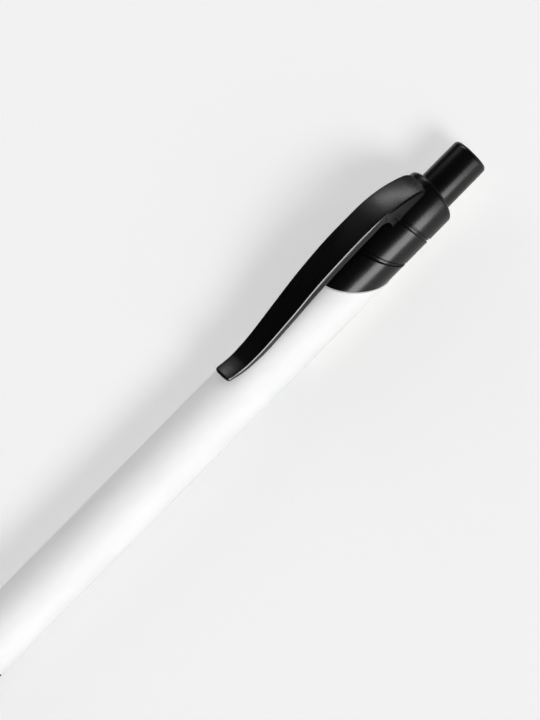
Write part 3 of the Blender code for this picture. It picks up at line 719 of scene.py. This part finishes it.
def edge_wear_group():
    """Where corners are rubbed smooth and a little pale."""
    number = "NodeSocketFloat"
    tree, given, out = new_group(
        "edge_wear",
        (("Place", "NodeSocketVector", None), ("Start", number, 0.53), ("End", number, 0.6)),
        (("Wear", number),),
    )
    geometry = tree.nodes.new("ShaderNodeNewGeometry")
    edges = ranged(tree, geometry.outputs["Pointiness"], given.outputs["Start"], given.outputs["End"])
    patch = noise(tree, given.outputs["Place"], 900.0, 2.0, 0.6)
    put(tree, out.inputs["Wear"], sums(tree, "MULTIPLY", edges, ranged(tree, patch, 0.35, 0.6)))
    return tree


def group_node(tree, name, values):
    """Places a node group and fills its inputs."""
    node = tree.nodes.new("ShaderNodeGroup")
    node.node_tree = bpy.data.node_groups[name]
    for label, value in values.items():
        put(tree, node.inputs[label], value)
    return node.outputs


def new_material(name, metallic=0.0):
    """A material, its tree, its Principled shader and the place on the object."""
    material = bpy.data.materials.new(name)
    material.use_nodes = True
    tree = material.node_tree
    shader = tree.nodes["Principled BSDF"]
    shader.inputs["Metallic"].default_value = metallic
    place = tree.nodes.new("ShaderNodeTexCoord").outputs["Object"]
    return material, tree, shader, place


def raised(tree, shader, height, depth):
    """Feeds a height through a Bump node to the shader's Normal."""
    bump = tree.nodes.new("ShaderNodeBump")
    bump.inputs["Distance"].default_value = depth
    put(tree, bump.inputs["Height"], height)
    tree.links.new(bump.outputs["Normal"], shader.inputs["Normal"])


def toned(color, factor):
    """A colour made darker or paler by a factor, with alpha 1."""
    return (*(min(part * factor, 1.0) for part in color), 1.0)


def mottled(tree, patches, color, tones):
    """A colour that changes from patch to patch between two tones."""
    low, high = tones
    return mixed(tree, patches, toned(color, low), toned(color, high))


def moulded_surface(tree, place):
    """The patches, grain and specks of moulded plastic, in the sizes of the settings."""
    finish = bpy.context.scene.pen_finish
    values = {"Place": place, "Patch Size": finish.mottle, "Grain Size": finish.grain}
    return group_node(tree, "moulded_surface", values)


def plastic(name, color, roughness, gloss, rub, grain_depth):
    """Moulded plastic with soft patches, mould grain, hair lines and rubbed edges."""
    swing = 0.06
    material, tree, shader, place = new_material(name)
    shader.inputs["Specular IOR Level"].default_value = gloss
    surface = moulded_surface(tree, place)
    lines = group_node(tree, "drag_lines", {"Place": place, "Share": 0.12})
    wear = group_node(tree, "edge_wear", {"Place": place})["Wear"]
    base = mottled(tree, surface["Patches"], color, PLASTIC_TONES)
    base = mixed(tree, sums(tree, "MULTIPLY", surface["Specks"], 0.05), base, toned(color, SPECK_TONE))
    base = mixed(tree, sums(tree, "MULTIPLY", wear, rub), base, toned(color, RUBBED_TONE))
    shift = sums(tree, "MULTIPLY_ADD", surface["Patches"], swing, roughness - swing / 2)
    shift = sums(tree, "MULTIPLY_ADD", lines["Lines"], swing, shift)
    shift = sums(tree, "MULTIPLY_ADD", wear, -swing, shift)
    put(tree, shader.inputs["Base Color"], base)
    put(tree, shader.inputs["Roughness"], shift)
    burnish = tree.nodes.new("ShaderNodeAttribute")
    burnish.attribute_name = "burnish"
    put(tree, shader.inputs["Coat Weight"], burnish.outputs["Fac"])
    shader.inputs["Coat Roughness"].default_value = 0.12
    height = sums(tree, "MULTIPLY_ADD", lines["Depth"], 0.25, surface["Grain"])
    raised(tree, shader, height, grain_depth)


def clear_plastic(name, color, roughness, transmission):
    """Thin see-through plastic, grease or ink."""
    material, tree, shader, place = new_material(name)
    surface = moulded_surface(tree, place)
    base = mottled(tree, surface["Patches"], color, CLEAR_TONES)
    put(tree, shader.inputs["Base Color"], base)
    put(tree, shader.inputs["Roughness"], sums(tree, "MULTIPLY_ADD", surface["Patches"], 0.08, roughness))
    shader.inputs["Transmission Weight"].default_value = transmission
    raised(tree, shader, surface["Grain"], 0.000002)


def turned_metal(name, color, roughness, ring_pitch):
    """Metal with the fine rings of turning or drawing round the pen's axis."""
    material, tree, shader, place = new_material(name, 1.0)
    wave = tree.nodes.new("ShaderNodeTexWave")
    wave.bands_direction = "X"
    put(tree, wave.inputs["Vector"], place)
    wave.inputs["Scale"].default_value = BAND_PITCH / ring_pitch
    wave.inputs["Distortion"].default_value = 1.5
    wave.inputs["Detail"].default_value = 2.0
    patches = noise(tree, place, 700.0, 3.0, 0.6)
    base = mottled(tree, ranged(tree, patches, 0.35, 0.7), color, METAL_TONES)
    put(tree, shader.inputs["Base Color"], base)
    put(tree, shader.inputs["Roughness"], sums(tree, "MULTIPLY_ADD", wave.outputs["Fac"], 0.08, roughness))
    raised(tree, shader, wave.outputs["Fac"], 0.000004)


def make_materials():
    """Builds the shared groups and every material of the pen, once."""
    if "moulded_surface" in bpy.data.node_groups:
        return
    moulded_surface_group()
    drag_lines_group()
    edge_wear_group()
    finish = bpy.context.scene.pen_finish
    plastic("pen_white", finish.white, finish.white_roughness, 0.3, 0.2, 0.0000015)
    plastic("pen_black", finish.black, finish.black_roughness, 0.5, 0.6, 0.000002)
    plastic("pen_natural", finish.natural, 0.42, 0.4, 0.2, 0.000002)
    clear_plastic("pen_tube", finish.tube, 0.22, 0.6)
    clear_plastic("pen_grease", finish.grease, 0.15, 0.4)
    clear_plastic("pen_ink", finish.ink, 0.12, 0.0)
    turned_metal("pen_brass", finish.brass, 0.22, 0.00012)
    turned_metal("pen_steel", finish.steel, 0.24, 0.00006)
    turned_metal("pen_ball", finish.ball, 0.10, 0.00004)


def finish_named(name):
    """A material of the pen."""
    make_materials()
    return bpy.data.materials[name]


class PEN_OT_barrel(bpy.types.Operator):
    """Builds the white barrel with its leaning end"""

    bl_idname = "pen.barrel"
    bl_label = "Barrel"

    def execute(self, context):
        body = context.scene.pen_body
        top = context.scene.pen_top
        seam = seam_height()
        bore = BARREL_RADIUS - body.wall
        plain = seam - 2 * BARREL_RADIUS
        outline = filleted(
            [
                (seam, BARREL_RADIUS, body.edge / 2),
                (plain, BARREL_RADIUS, 0),
                (BARREL_START, BARREL_RADIUS, body.edge),
                (BARREL_START, bore, body.edge),
                (plain, bore, 0),
                (seam, bore, body.edge),
            ]
        )
        leaning_from = (plain + seam) / 2

        def lean(height, radius):
            return top.seam_lean if height > leaning_from else 0

        mesh = turned_mesh(outline, SHELL_STEPS, lean)
        barrel = finished_object("barrel_shell", mesh, "pen_body", "pen_white")
        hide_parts("barrel")
        return {"FINISHED"}


class PEN_OT_nose(bpy.types.Operator):
    """Builds the black nose cone with its spring chamber and mouth"""

    bl_idname = "pen.nose"
    bl_label = "Nose cone"

    def execute(self, context):
        body = context.scene.pen_body
        top = context.scene.pen_top
        joint = BARREL_START - top.seam_gap
        screw_radius = BARREL_RADIUS - body.wall - body.fit
        screw_bore = screw_radius - body.screw_wall
        screw_top = BARREL_START + body.screw_length
        relief_top = BARREL_START - body.relief
        taper_steps = 40
        corners = [
            (screw_top, screw_radius, body.lead_in),
            (joint, screw_radius, 0),
            (joint, BARREL_RADIUS, body.edge),
        ]
        for step in range(1, taper_steps):
            share = 1 - step / taper_steps
            radius = body.nose_tip + (BARREL_RADIUS - body.nose_tip) * (1 - (1 - share) ** 2)
            corners.append((joint * share, radius, 0))
        corners += [
            (0, body.nose_tip, body.nose_round),
            (0, body.nose_mouth, body.edge),
            (body.mouth_depth, body.nose_mouth, 0),
            (body.mouth_depth + body.passage - body.nose_mouth, body.passage, 0),
            (body.ledge, body.passage, 0),
            (body.ledge, body.chamber, 0),
            (relief_top - (screw_bore - body.chamber), body.chamber, 0),
            (relief_top, screw_bore, 0),
            (screw_top, screw_bore, body.edge),
        ]
        mesh = turned_mesh(filleted(corners), CAP_STEPS)
        nose = finished_object("nose_shell", mesh, "pen_body", "pen_black")
        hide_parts("nose_cone")
        return {"FINISHED"}


def groove_corners(height):
    """Corners of a double groove round the top, from its upper edge down."""
    top = bpy.context.scene.pen_top
    outer = BARREL_RADIUS - top.step
    return [
        (height + place * top.groove_width / 2, outer - depth * top.groove_depth, rounding)
        for place, depth, rounding in GROOVE_FORM
    ]


def web_levels(lower):
    """Levels up the web's side, from 0 at its foot to the chamfer's start and on to 1 at its roof."""
    steps = 22
    levels = [lower * (0.5 - 0.5 * math.cos(math.pi * step / steps)) for step in range(steps + 1)]
    return levels + [lower + (1 - lower) * part for part in (0.33, 0.67, 1)]


def web_mesh():
    """The web under the clip's root: wide at the clip, narrow at its foot, hollow at its front."""
    clip = bpy.context.scene.pen_clip
    outer = BARREL_RADIUS - bpy.context.scene.pen_top.step
    back = root_height() - clip.web_back
    front = back - clip.web_length
    hinge = root_height() - clip.hinge_back
    stations = 60
    crowding = 1.3
    fading = 1.5
    throat_start = 0.35
    throat_bend = 2.6
    toe_end = 0.3
    least_height = 0.00004
    shape = bmesh.new()
    rows = []
    for index in range(stations + 1):
        share = (index / stations) ** crowding
        along = front + (back - front) * share
        front_form = (1 - share) ** fading
        roof_along = along - clip.web_throat * front_form
        on_clip = clip_share(roof_along)
        rounding = 0
        if along - front < clip.web_edge:
            rounding = clip.web_edge - math.sqrt(clip.web_edge**2 - (clip.web_edge - along + front) ** 2)
        top_half = clip_half_width(on_clip) - clip.web_inset - rounding
        foot_half = min(clip.web_width / 2 - rounding, top_half)
        foot = math.sqrt(outer**2 - foot_half**2) - clip.web_sink
        growing = eased(on_clip, clip.plate_end - 0.004, clip.plate_end + 0.02)
        roof = clip_underside(roof_along) - clip.web_gap * (0.25 + 0.75 * growing)
        roof -= max(0, roof_along - hinge) * math.tan(clip.lift)
        tall = max(roof - foot, least_height)
        chamfer = min(clip.web_chamfer * growing, tall * 0.6, top_half * 0.4)
        side = []
        for level in web_levels(1 - chamfer / tall):
            forward = clip.web_throat * max(0, (level - throat_start) / (1 - throat_start)) ** throat_bend
            forward += clip.web_toe * max(0, 1 - level / toe_end) ** 2
            half = foot_half + (top_half - foot_half) * level
            half -= max(0, chamfer - (1 - level) * tall)
            side.append((along - forward * front_form, half, foot + level * tall))
        left = [at(height, -half, rise) for height, half, rise in side]
        right = [at(height, half, rise) for height, half, rise in reversed(side)]
        rows.append([shape.verts.new(point) for point in left + right])
    add_skin(shape, rows)
    count = len(rows[0])
    for row in (rows[0], rows[-1]):
        for k in range(count // 2 - 1):
            shape.faces.new((row[k], row[k + 1], row[count - 2 - k], row[count - 1 - k]))
    return made(shape)


class PEN_OT_top(bpy.types.Operator):
    """Builds the black top with its leaning double grooves, spigot and web"""

    bl_idname = "pen.top"
    bl_label = "Black top"

    def execute(self, context):
        body = context.scene.pen_body
        top = context.scene.pen_top
        button = context.scene.pen_button
        outer = BARREL_RADIUS - top.step
        seam = seam_height() + top.seam_gap
        rim = rim_height()
        hole = button.radius + body.fit
        spigot = BARREL_RADIUS - body.wall - body.fit
        bore = spigot - top.spigot_wall
        spigot_end = seam_height() - top.seam_lean * BARREL_RADIUS - top.spigot_length
        floor = rim - button.engaged - button.stroke - 2 * body.fit
        partition = floor - top.partition
        corners = [(rim, hole, top.rim_edge), (rim, outer, top.shoulder)]
        corners += groove_corners(seam_height() + top.upper_rise)
        corners += groove_corners(seam_height() + top.lower_rise)
        corners += [
            (seam, outer, top.seam_edge),
            (seam, spigot, 0),
            (spigot_end, spigot, body.lead_in),
            (spigot_end, bore, body.edge),
            (partition, bore, 0),
            (partition, button.socket, body.edge),
            (floor, button.socket, body.edge),
            (floor, hole, 0),
        ]
        in_wall = spigot - top.spigot_wall / 2

        def lean(height, radius):
            outside = radius > in_wall and height > seam - top.seam_gap
            on_rim = height > rim - body.edge
            return lean_at(height) if outside or on_rim else 0

        mesh = turned_mesh(filleted(corners, 6), SHELL_STEPS, lean)
        shell = finished_object("top_shell", mesh, "pen_body", "pen_black")
        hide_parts("top_housing")
        finished_object("clip_web", web_mesh(), "pen_body", "pen_black")
        return {"FINISHED"}


def clip_section(share, inset):
    """One cross-section of the clip as (side, depth under its top), drawn in by the inset."""
    clip = bpy.context.scene.pen_clip
    _, width, middle, edge = clip_at(share)
    half = clip_half_width(share)
    facet = min(clip.facet, half * 0.5, edge * 0.8) * (1 - 0.75 * eased(share, *FACET_NARROWS))
    facet_in = facet * math.sin(clip.facet_turn)
    facet_down = facet * math.cos(clip.facet_turn)
    ledge = clip.ledge * eased(share, *LEDGE_WIDENS) * (1 - eased(share, *LEDGE_GOES))
    soft = min(clip.soft_edge, facet / 3)
    top_half = half - ledge - facet_in
    top_drop = clip.crown * (2 * top_half / width) ** 2
    right = []
    for step in range(CROWN_STEPS):
        part = step / CROWN_STEPS
        right.append((top_half * part, top_drop * part**2))
    for on_facet, soft_out, soft_down, ledge_out, ledge_down, _ in CLIP_SIDE_FORM:
        side = top_half + facet_in * on_facet + soft * soft_out + ledge * ledge_out
        depth = top_drop + facet_down * on_facet + soft * soft_down + ledge * ledge_down
        right.append((side, depth))
    round_steps = 4
    on_web = eased(share, clip.plate_start - 0.015, clip.plate_start)
    behind = eased(share, clip.plate_end, clip.plate_end + 0.03)
    undercut = clip.undercut * behind
    radius = min(clip.edge, edge * 0.25) * (1 - 0.9 * on_web * (1 - behind))
    for step in range(round_steps + 1):
        turn = math.pi / 2 * step / round_steps
        side = half - radius * (1 - math.cos(turn))
        depth = edge - radius * (1 - math.sin(turn))
        right.append((side - undercut * depth / edge, depth))
    wall = min(clip.wall, half * 0.4) + undercut
    right.append((half - radius - wall, edge))
    hollow_steps = 4
    hollow_rise = 0.15
    inner = half - radius - wall * 1.5
    for step in range(hollow_steps + 1):
        part = 1 - step / hollow_steps
        right.append((inner * part, middle + (edge - middle) * hollow_rise * part**2))
    across = max(half - inset, 0) / half
    down = max(edge - 2 * inset, 0) / edge
    center = edge / 2
    return [(side * across, center + (depth - center) * down) for side, depth in right]


def rounded_end(reach):
    """How far in from an end, and how much drawn in, the cross-sections of its rounding are."""
    steps = 5
    turns = [math.pi / 2 * step / steps for step in range(steps)]
    return [(reach * (1 - math.cos(turn)), reach * (1 - math.sin(turn))) for turn in turns]


def clip_stations():
    """Share of the clip's length and inset of each cross-section, from its tip to its root."""
    clip = bpy.context.scene.pen_clip
    whole = clip.clip_length
    marks = (clip.tip_round, clip.tip_corner, whole - clip.root_corner, whole - clip.edge)
    stations = rounded_end(clip.tip_round)
    for start, end, steps in zip(marks, marks[1:], CLIP_STEPS):
        stations += [(start + (end - start) * step / steps, 0) for step in range(1, steps + 1)]
    stations += [(whole - place, inset) for place, inset in reversed(rounded_end(clip.edge))]
    return [(place / whole, inset) for place, inset in stations]


class PEN_OT_clip(bpy.types.Operator):
    """Builds the swept clip: a crowned blade with a bright facet along each side"""

    bl_idname = "pen.clip"
    bl_label = "Clip"

    def execute(self, context):
        shape = bmesh.new()
        burnish = shape.verts.layers.float.new("burnish")
        rows = []
        for share, inset in clip_stations():
            tilt = math.atan(clip_slope(share))
            height = clip_height(share)
            rise = BARREL_RADIUS + clip_at(share)[0]
            right = clip_section(share, inset)
            left = [(-side, depth) for side, depth in reversed(right[1:-1])]
            row = []
            for side, depth in right + left:
                place = at(height + depth * math.sin(tilt), side, rise - depth * math.cos(tilt))
                row.append(shape.verts.new(place))
            for k, form in enumerate(CLIP_SIDE_FORM, CROWN_STEPS):
                if form[-1]:
                    row[k][burnish] = 1
                    row[-k][burnish] = 1
            rows.append(row)
        loft(shape, rows)
        blade = finished_object("clip_blade", made(shape), "clip_body", "pen_black")
        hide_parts("clip")
        return {"FINISHED"}


class PEN_OT_button(bpy.types.Operator):
    """Builds the push button with its domed end"""

    bl_idname = "pen.button"
    bl_label = "Push button"

    def execute(self, context):
        button = context.scene.pen_button
        edge = context.scene.pen_body.edge
        slim = button.radius - button.taper
        bottom = rim_height() - button.engaged
        end = PEN_LENGTH
        corners = [
            (end, 0, 0),
            (end, button.flat, button.dome_round),
            (end - button.dome, slim, button.end_round),
            (bottom, button.radius, edge),
            (bottom, button.socket, edge / 2),
            (end - button.end_wall, button.socket, edge / 2),
            (end - button.end_wall, 0, 0),
        ]
        mesh = turned_mesh(filleted(corners, 10, False), CAP_STEPS)
        cap = finished_object("button_cap", mesh, "button_body", "pen_black")
        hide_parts("push_button")
        return {"FINISHED"}


class PEN_OT_point(bpy.types.Operator):
    """Builds the brass point, its ball and the return spring"""

    bl_idname = "pen.point"
    bl_label = "Point and spring"

    def execute(self, context):
        point = context.scene.pen_point
        body = context.scene.pen_body
        self.add_brass(point, body)
        self.add_ball(point)
        self.add_spring(context, point, body)
        return {"FINISHED"}

    def add_brass(self, point, body):
        """The point with its cone, its rolled lip, the ball's socket and the ink channel."""
        center = point.inset + point.ball
        socket = point.ball + point.ball_gap
        lip = math.sqrt(socket**2 - point.lip_reach**2)
        lip_turn = -math.asin(point.lip_reach / socket)
        channel_turn = math.acos(point.channel / socket)
        tube_front = point.inset + point.show
        collar = tube_front - body.fit
        top = tube_front + point.shank
        corners = [
            (top, point.shank_radius, body.edge / 2),
            (collar, point.shank_radius, 0),
            (collar, point.radius, body.edge),
            (center - point.lip_reach + point.cone, point.radius, point.cone_round),
            (center - point.lip_reach, lip + point.lip, point.lip_round),
        ]
        socket_steps = 12
        for step in range(socket_steps + 1):
            turn = lip_turn + (channel_turn - lip_turn) * step / socket_steps
            corners.append((center + socket * math.sin(turn), socket * math.cos(turn), 0))
        corners.append((top, point.channel, 0))
        mesh = turned_mesh(filleted(corners), POINT_STEPS)
        brass = finished_object("brass_point", mesh, "refill_body", "pen_brass")
        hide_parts("refill_point")

    def add_ball(self, point):
        """The ball in its socket."""
        shape = bmesh.new()
        bmesh.ops.create_uvsphere(shape, u_segments=40, v_segments=20, radius=point.ball)
        bmesh.ops.translate(shape, verts=shape.verts, vec=at(point.inset + point.ball, 0, 0))
        # Blender lists the faces of a new sphere in another order each time
        shape.verts.index_update()
        count = len(shape.verts)
        shape.faces.sort(key=lambda face: face.verts[0].index * count + face.verts[1].index)
        ball = finished_object("point_ball", mesh_from(shape), "ball_body", "pen_ball")
        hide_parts("writing_ball")

    def add_spring(self, context, point, body):
        """The return spring, wound as fitted."""
        steps = 24
        start = body.ledge + point.wire / 2 + body.fit
        end = body.ledge + point.coil_length - point.wire / 2 - body.fit
        open_pitch = (end - start - 2 * point.end_pitch) / (point.turns - 2)
        curve = bpy.data.curves.new("spring_coil", "CURVE")
        curve.dimensions = "3D"
        curve.bevel_depth = point.wire / 2
        curve.bevel_resolution = 3
        curve.use_fill_caps = True
        spline = curve.splines.new("POLY")
        count = point.turns * steps
        spline.points.add(count)
        height = start
        for index, knot in enumerate(spline.points):
            turn = 2 * math.pi * index / steps
            side = -point.coil_radius * math.sin(turn)
            knot.co = (*at(height, side, point.coil_radius * math.cos(turn)), 1)
            near_end = index < steps or index >= count - steps
            height += (point.end_pitch if near_end else open_pitch) / steps
        wound = added("wound", curve)
        seen = wound.evaluated_get(context.evaluated_depsgraph_get())
        mesh = bpy.data.meshes.new_from_object(seen)
        bpy.data.objects.remove(wound)
        coil = finished_object("spring_coil", mesh, "pen_body", "pen_steel")
        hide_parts("return_spring")
        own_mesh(coil)


class PEN_OT_inside(bpy.types.Operator):
    """Gives the click cam and the refill their finishes"""

    bl_idname = "pen.inside"
    bl_label = "Inner pieces"

    def execute(self, context):
        for node, name in INNER_FINISHES.items():
            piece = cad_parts[node]
            piece.data.materials.clear()
            piece.data.materials.append(finish_named(name))
        return {"FINISHED"}


def aimed(location, target):
    """A matrix that stands at a place and looks at another."""
    turn = (target - location).to_track_quat("-Z", "Y")
    return Matrix.Translation(location) @ turn.to_matrix().to_4x4()


def direction(turn, height):
    """The way out at a height, turned from the camera's side towards the button."""
    across = math.cos(height)
    return Vector((across * math.sin(turn), -across * math.cos(turn), math.sin(height)))


def add_panel(name, turn, height, roll, size, radiance, has_shadow, target):
    """A lamp panel that shows only in gloss. Turn is from the camera's side towards the button."""
    distance = 0.5
    lamp = bpy.data.lights.new(name, "AREA")
    lamp.shape = "RECTANGLE"
    lamp.size, lamp.size_y = size
    lamp.energy = radiance * math.pi * lamp.size * lamp.size_y
    lamp.use_shadow = has_shadow
    holder = added(name, lamp)
    place = target + direction(turn, height) * distance
    holder.matrix_world = aimed(place, target) @ Matrix.Rotation(roll, 4, "Z")
    holder.visible_diffuse = False
    holder.visible_camera = False


def add_sun(name, power, softness, away, has_shadow):
    """A soft far lamp that doesn't show in gloss."""
    lamp = bpy.data.lights.new(name, "SUN")
    lamp.energy = power
    lamp.angle = softness
    lamp.use_shadow = has_shadow
    holder = added(name, lamp)
    holder.matrix_world = aimed(away, Vector((0, 0, 0)))
    holder.visible_glossy = False


class PEN_OT_stage(bpy.types.Operator):
    """Builds the floor, the lamps, the world and the camera"""

    bl_idname = "pen.stage"
    bl_label = "Stage"

    def execute(self, context):
        stage = context.scene.pen_stage
        self.add_floor(stage)
        self.add_lamps(stage)
        self.add_world(stage)
        self.add_camera(stage)
        for name in BOUNCELESS:
            bpy.data.objects[name].visible_diffuse = False
        context.scene.view_settings.view_transform = "Standard"
        return {"FINISHED"}

    def add_floor(self, stage):
        """The pale round floor."""
        shape = bmesh.new()
        bmesh.ops.create_circle(shape, cap_ends=True, segments=96, radius=stage.floor_radius)
        floor = added("floor", mesh_from(shape))
        material = bpy.data.materials.new("floor")
        material.use_nodes = True
        tree = material.node_tree
        shader = tree.nodes["Principled BSDF"]
        shader.inputs["Base Color"].default_value = (*stage.floor_colour, 1)
        shader.inputs["Roughness"].default_value = 1.0
        shader.inputs["Specular IOR Level"].default_value = 0.0
        shader.inputs["Emission Color"].default_value = (1, 1, 1, 1)
        rays = tree.nodes.new("ShaderNodeLightPath")
        lift = ranged(tree, rays.outputs["Is Camera Ray"], 0.0, 1.0, 0.0, stage.floor_lift)
        put(tree, shader.inputs["Emission Strength"], lift)
        floor.data.materials.append(material)
        floor.visible_glossy = False

    def add_lamps(self, stage):
        """The key lamp, the panels that show in gloss and the two low cards."""
        away = direction(stage.key_turn, stage.key_height)
        add_sun("key", stage.key_power, stage.key_softness, away, True)
        target = at(PEN_LENGTH * 0.8, 0, 0)
        for name, turn, height, roll, size, radiance, has_shadow in PANELS:
            angles = (math.radians(value) for value in (turn, height, roll))
            add_panel(name, *angles, size, radiance, has_shadow, target)
        card_rise = 0.05
        for name, side, power in (("card", -1, stage.card), ("far_card", 1, stage.far_card)):
            away = Vector((0, side, card_rise))
            add_sun(name, power * math.pi, stage.card_softness, away, False)

    def add_world(self, stage):
        """Even light from all round, which shows in gloss as a pale floor under a dark sky."""
        floor_top = -0.05
        sky_bottom = 0.02
        world = bpy.data.worlds.new("studio")
        bpy.context.scene.world = world
        world.use_nodes = True
        tree = world.node_tree
        background = tree.nodes["Background"]
        background.inputs["Color"].default_value = (1, 1, 1, 1)
        split = tree.nodes.new("ShaderNodeSeparateXYZ")
        put(tree, split.inputs[0], tree.nodes.new("ShaderNodeTexCoord").outputs["Generated"])
        height = split.outputs["Z"]
        in_gloss = ranged(tree, height, floor_top, sky_bottom, stage.floor_gloss, stage.sky_gloss)
        rays = tree.nodes.new("ShaderNodeLightPath")
        level = ranged(tree, rays.outputs["Is Glossy Ray"], 0.0, 1.0, stage.fill, in_gloss)
        put(tree, background.inputs["Strength"], level)

    def add_camera(self, stage):
        """The camera at the photo's angle."""
        lens = bpy.data.cameras.new("camera")
        lens.lens = stage.lens
        lens.sensor_width = 36
        lens.clip_start = 0.01
        lens.clip_end = 20
        camera = added("camera", lens)
        distance = stage.frame_height * stage.lens / lens.sensor_width
        across = math.cos(stage.camera_lead)
        back = Vector(
            (
                -math.sin(stage.camera_lead),
                -across * math.cos(stage.camera_height),
                across * math.sin(stage.camera_height),
            )
        )
        pen = Vector((1, 0, 0))
        pen = (pen - back * pen.dot(back)).normalized()
        right = Matrix.Rotation(-stage.pen_slope, 3, back) @ pen
        turned = Matrix((right, back.cross(right), back)).transposed().to_4x4()
        target = at(stage.focus, 0, 0) + pen.cross(back) * stage.focus_drop
        camera.matrix_world = Matrix.Translation(target + back * distance) @ turned
        bpy.context.scene.camera = camera


class PEN_PT_panel(bpy.types.Panel):
    """Buttons and sizes of the pen"""

    bl_idname = "PEN_PT_panel"
    bl_label = "Ballpoint pen"
    bl_space_type = "VIEW_3D"
    bl_region_type = "UI"
    bl_category = "Pen"

    def draw(self, context):
        for operator in PIECE_OPERATORS:
            self.layout.operator(operator.bl_idname)
        for name in SETTINGS:
            box = self.layout.box()
            group = getattr(context.scene, name)
            for label in group.__annotations__:
                box.prop(group, label)


PIECE_OPERATORS = (
    PEN_OT_barrel,
    PEN_OT_nose,
    PEN_OT_top,
    PEN_OT_clip,
    PEN_OT_button,
    PEN_OT_point,
    PEN_OT_inside,
    PEN_OT_stage,
)
SETTINGS = {
    "pen_body": PenBodySettings,
    "pen_top": PenTopSettings,
    "pen_clip": PenClipSettings,
    "pen_button": PenButtonSettings,
    "pen_point": PenPointSettings,
    "pen_finish": PenFinishSettings,
    "pen_stage": PenStageSettings,
}


def register():
    """Registers the settings, the operators and the panel."""
    for name, group in SETTINGS.items():
        bpy.utils.register_class(group)
        setattr(bpy.types.Scene, name, bpy.props.PointerProperty(type=group))
    for operator in PIECE_OPERATORS:
        bpy.utils.register_class(operator)
    bpy.utils.register_class(PEN_PT_panel)


def unregister():
    """Removes what register added."""
    bpy.utils.unregister_class(PEN_PT_panel)
    for operator in reversed(PIECE_OPERATORS):
        bpy.utils.unregister_class(operator)
    for name, group in reversed(SETTINGS.items()):
        delattr(bpy.types.Scene, name)
        bpy.utils.unregister_class(group)


def main():
    """Registers the add-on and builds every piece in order."""
    register()
    bpy.ops.pen.barrel()
    bpy.ops.pen.nose()
    bpy.ops.pen.top()
    bpy.ops.pen.clip()
    bpy.ops.pen.button()
    bpy.ops.pen.point()
    bpy.ops.pen.inside()
    bpy.ops.pen.stage()


if __name__ == "__main__":
    main()
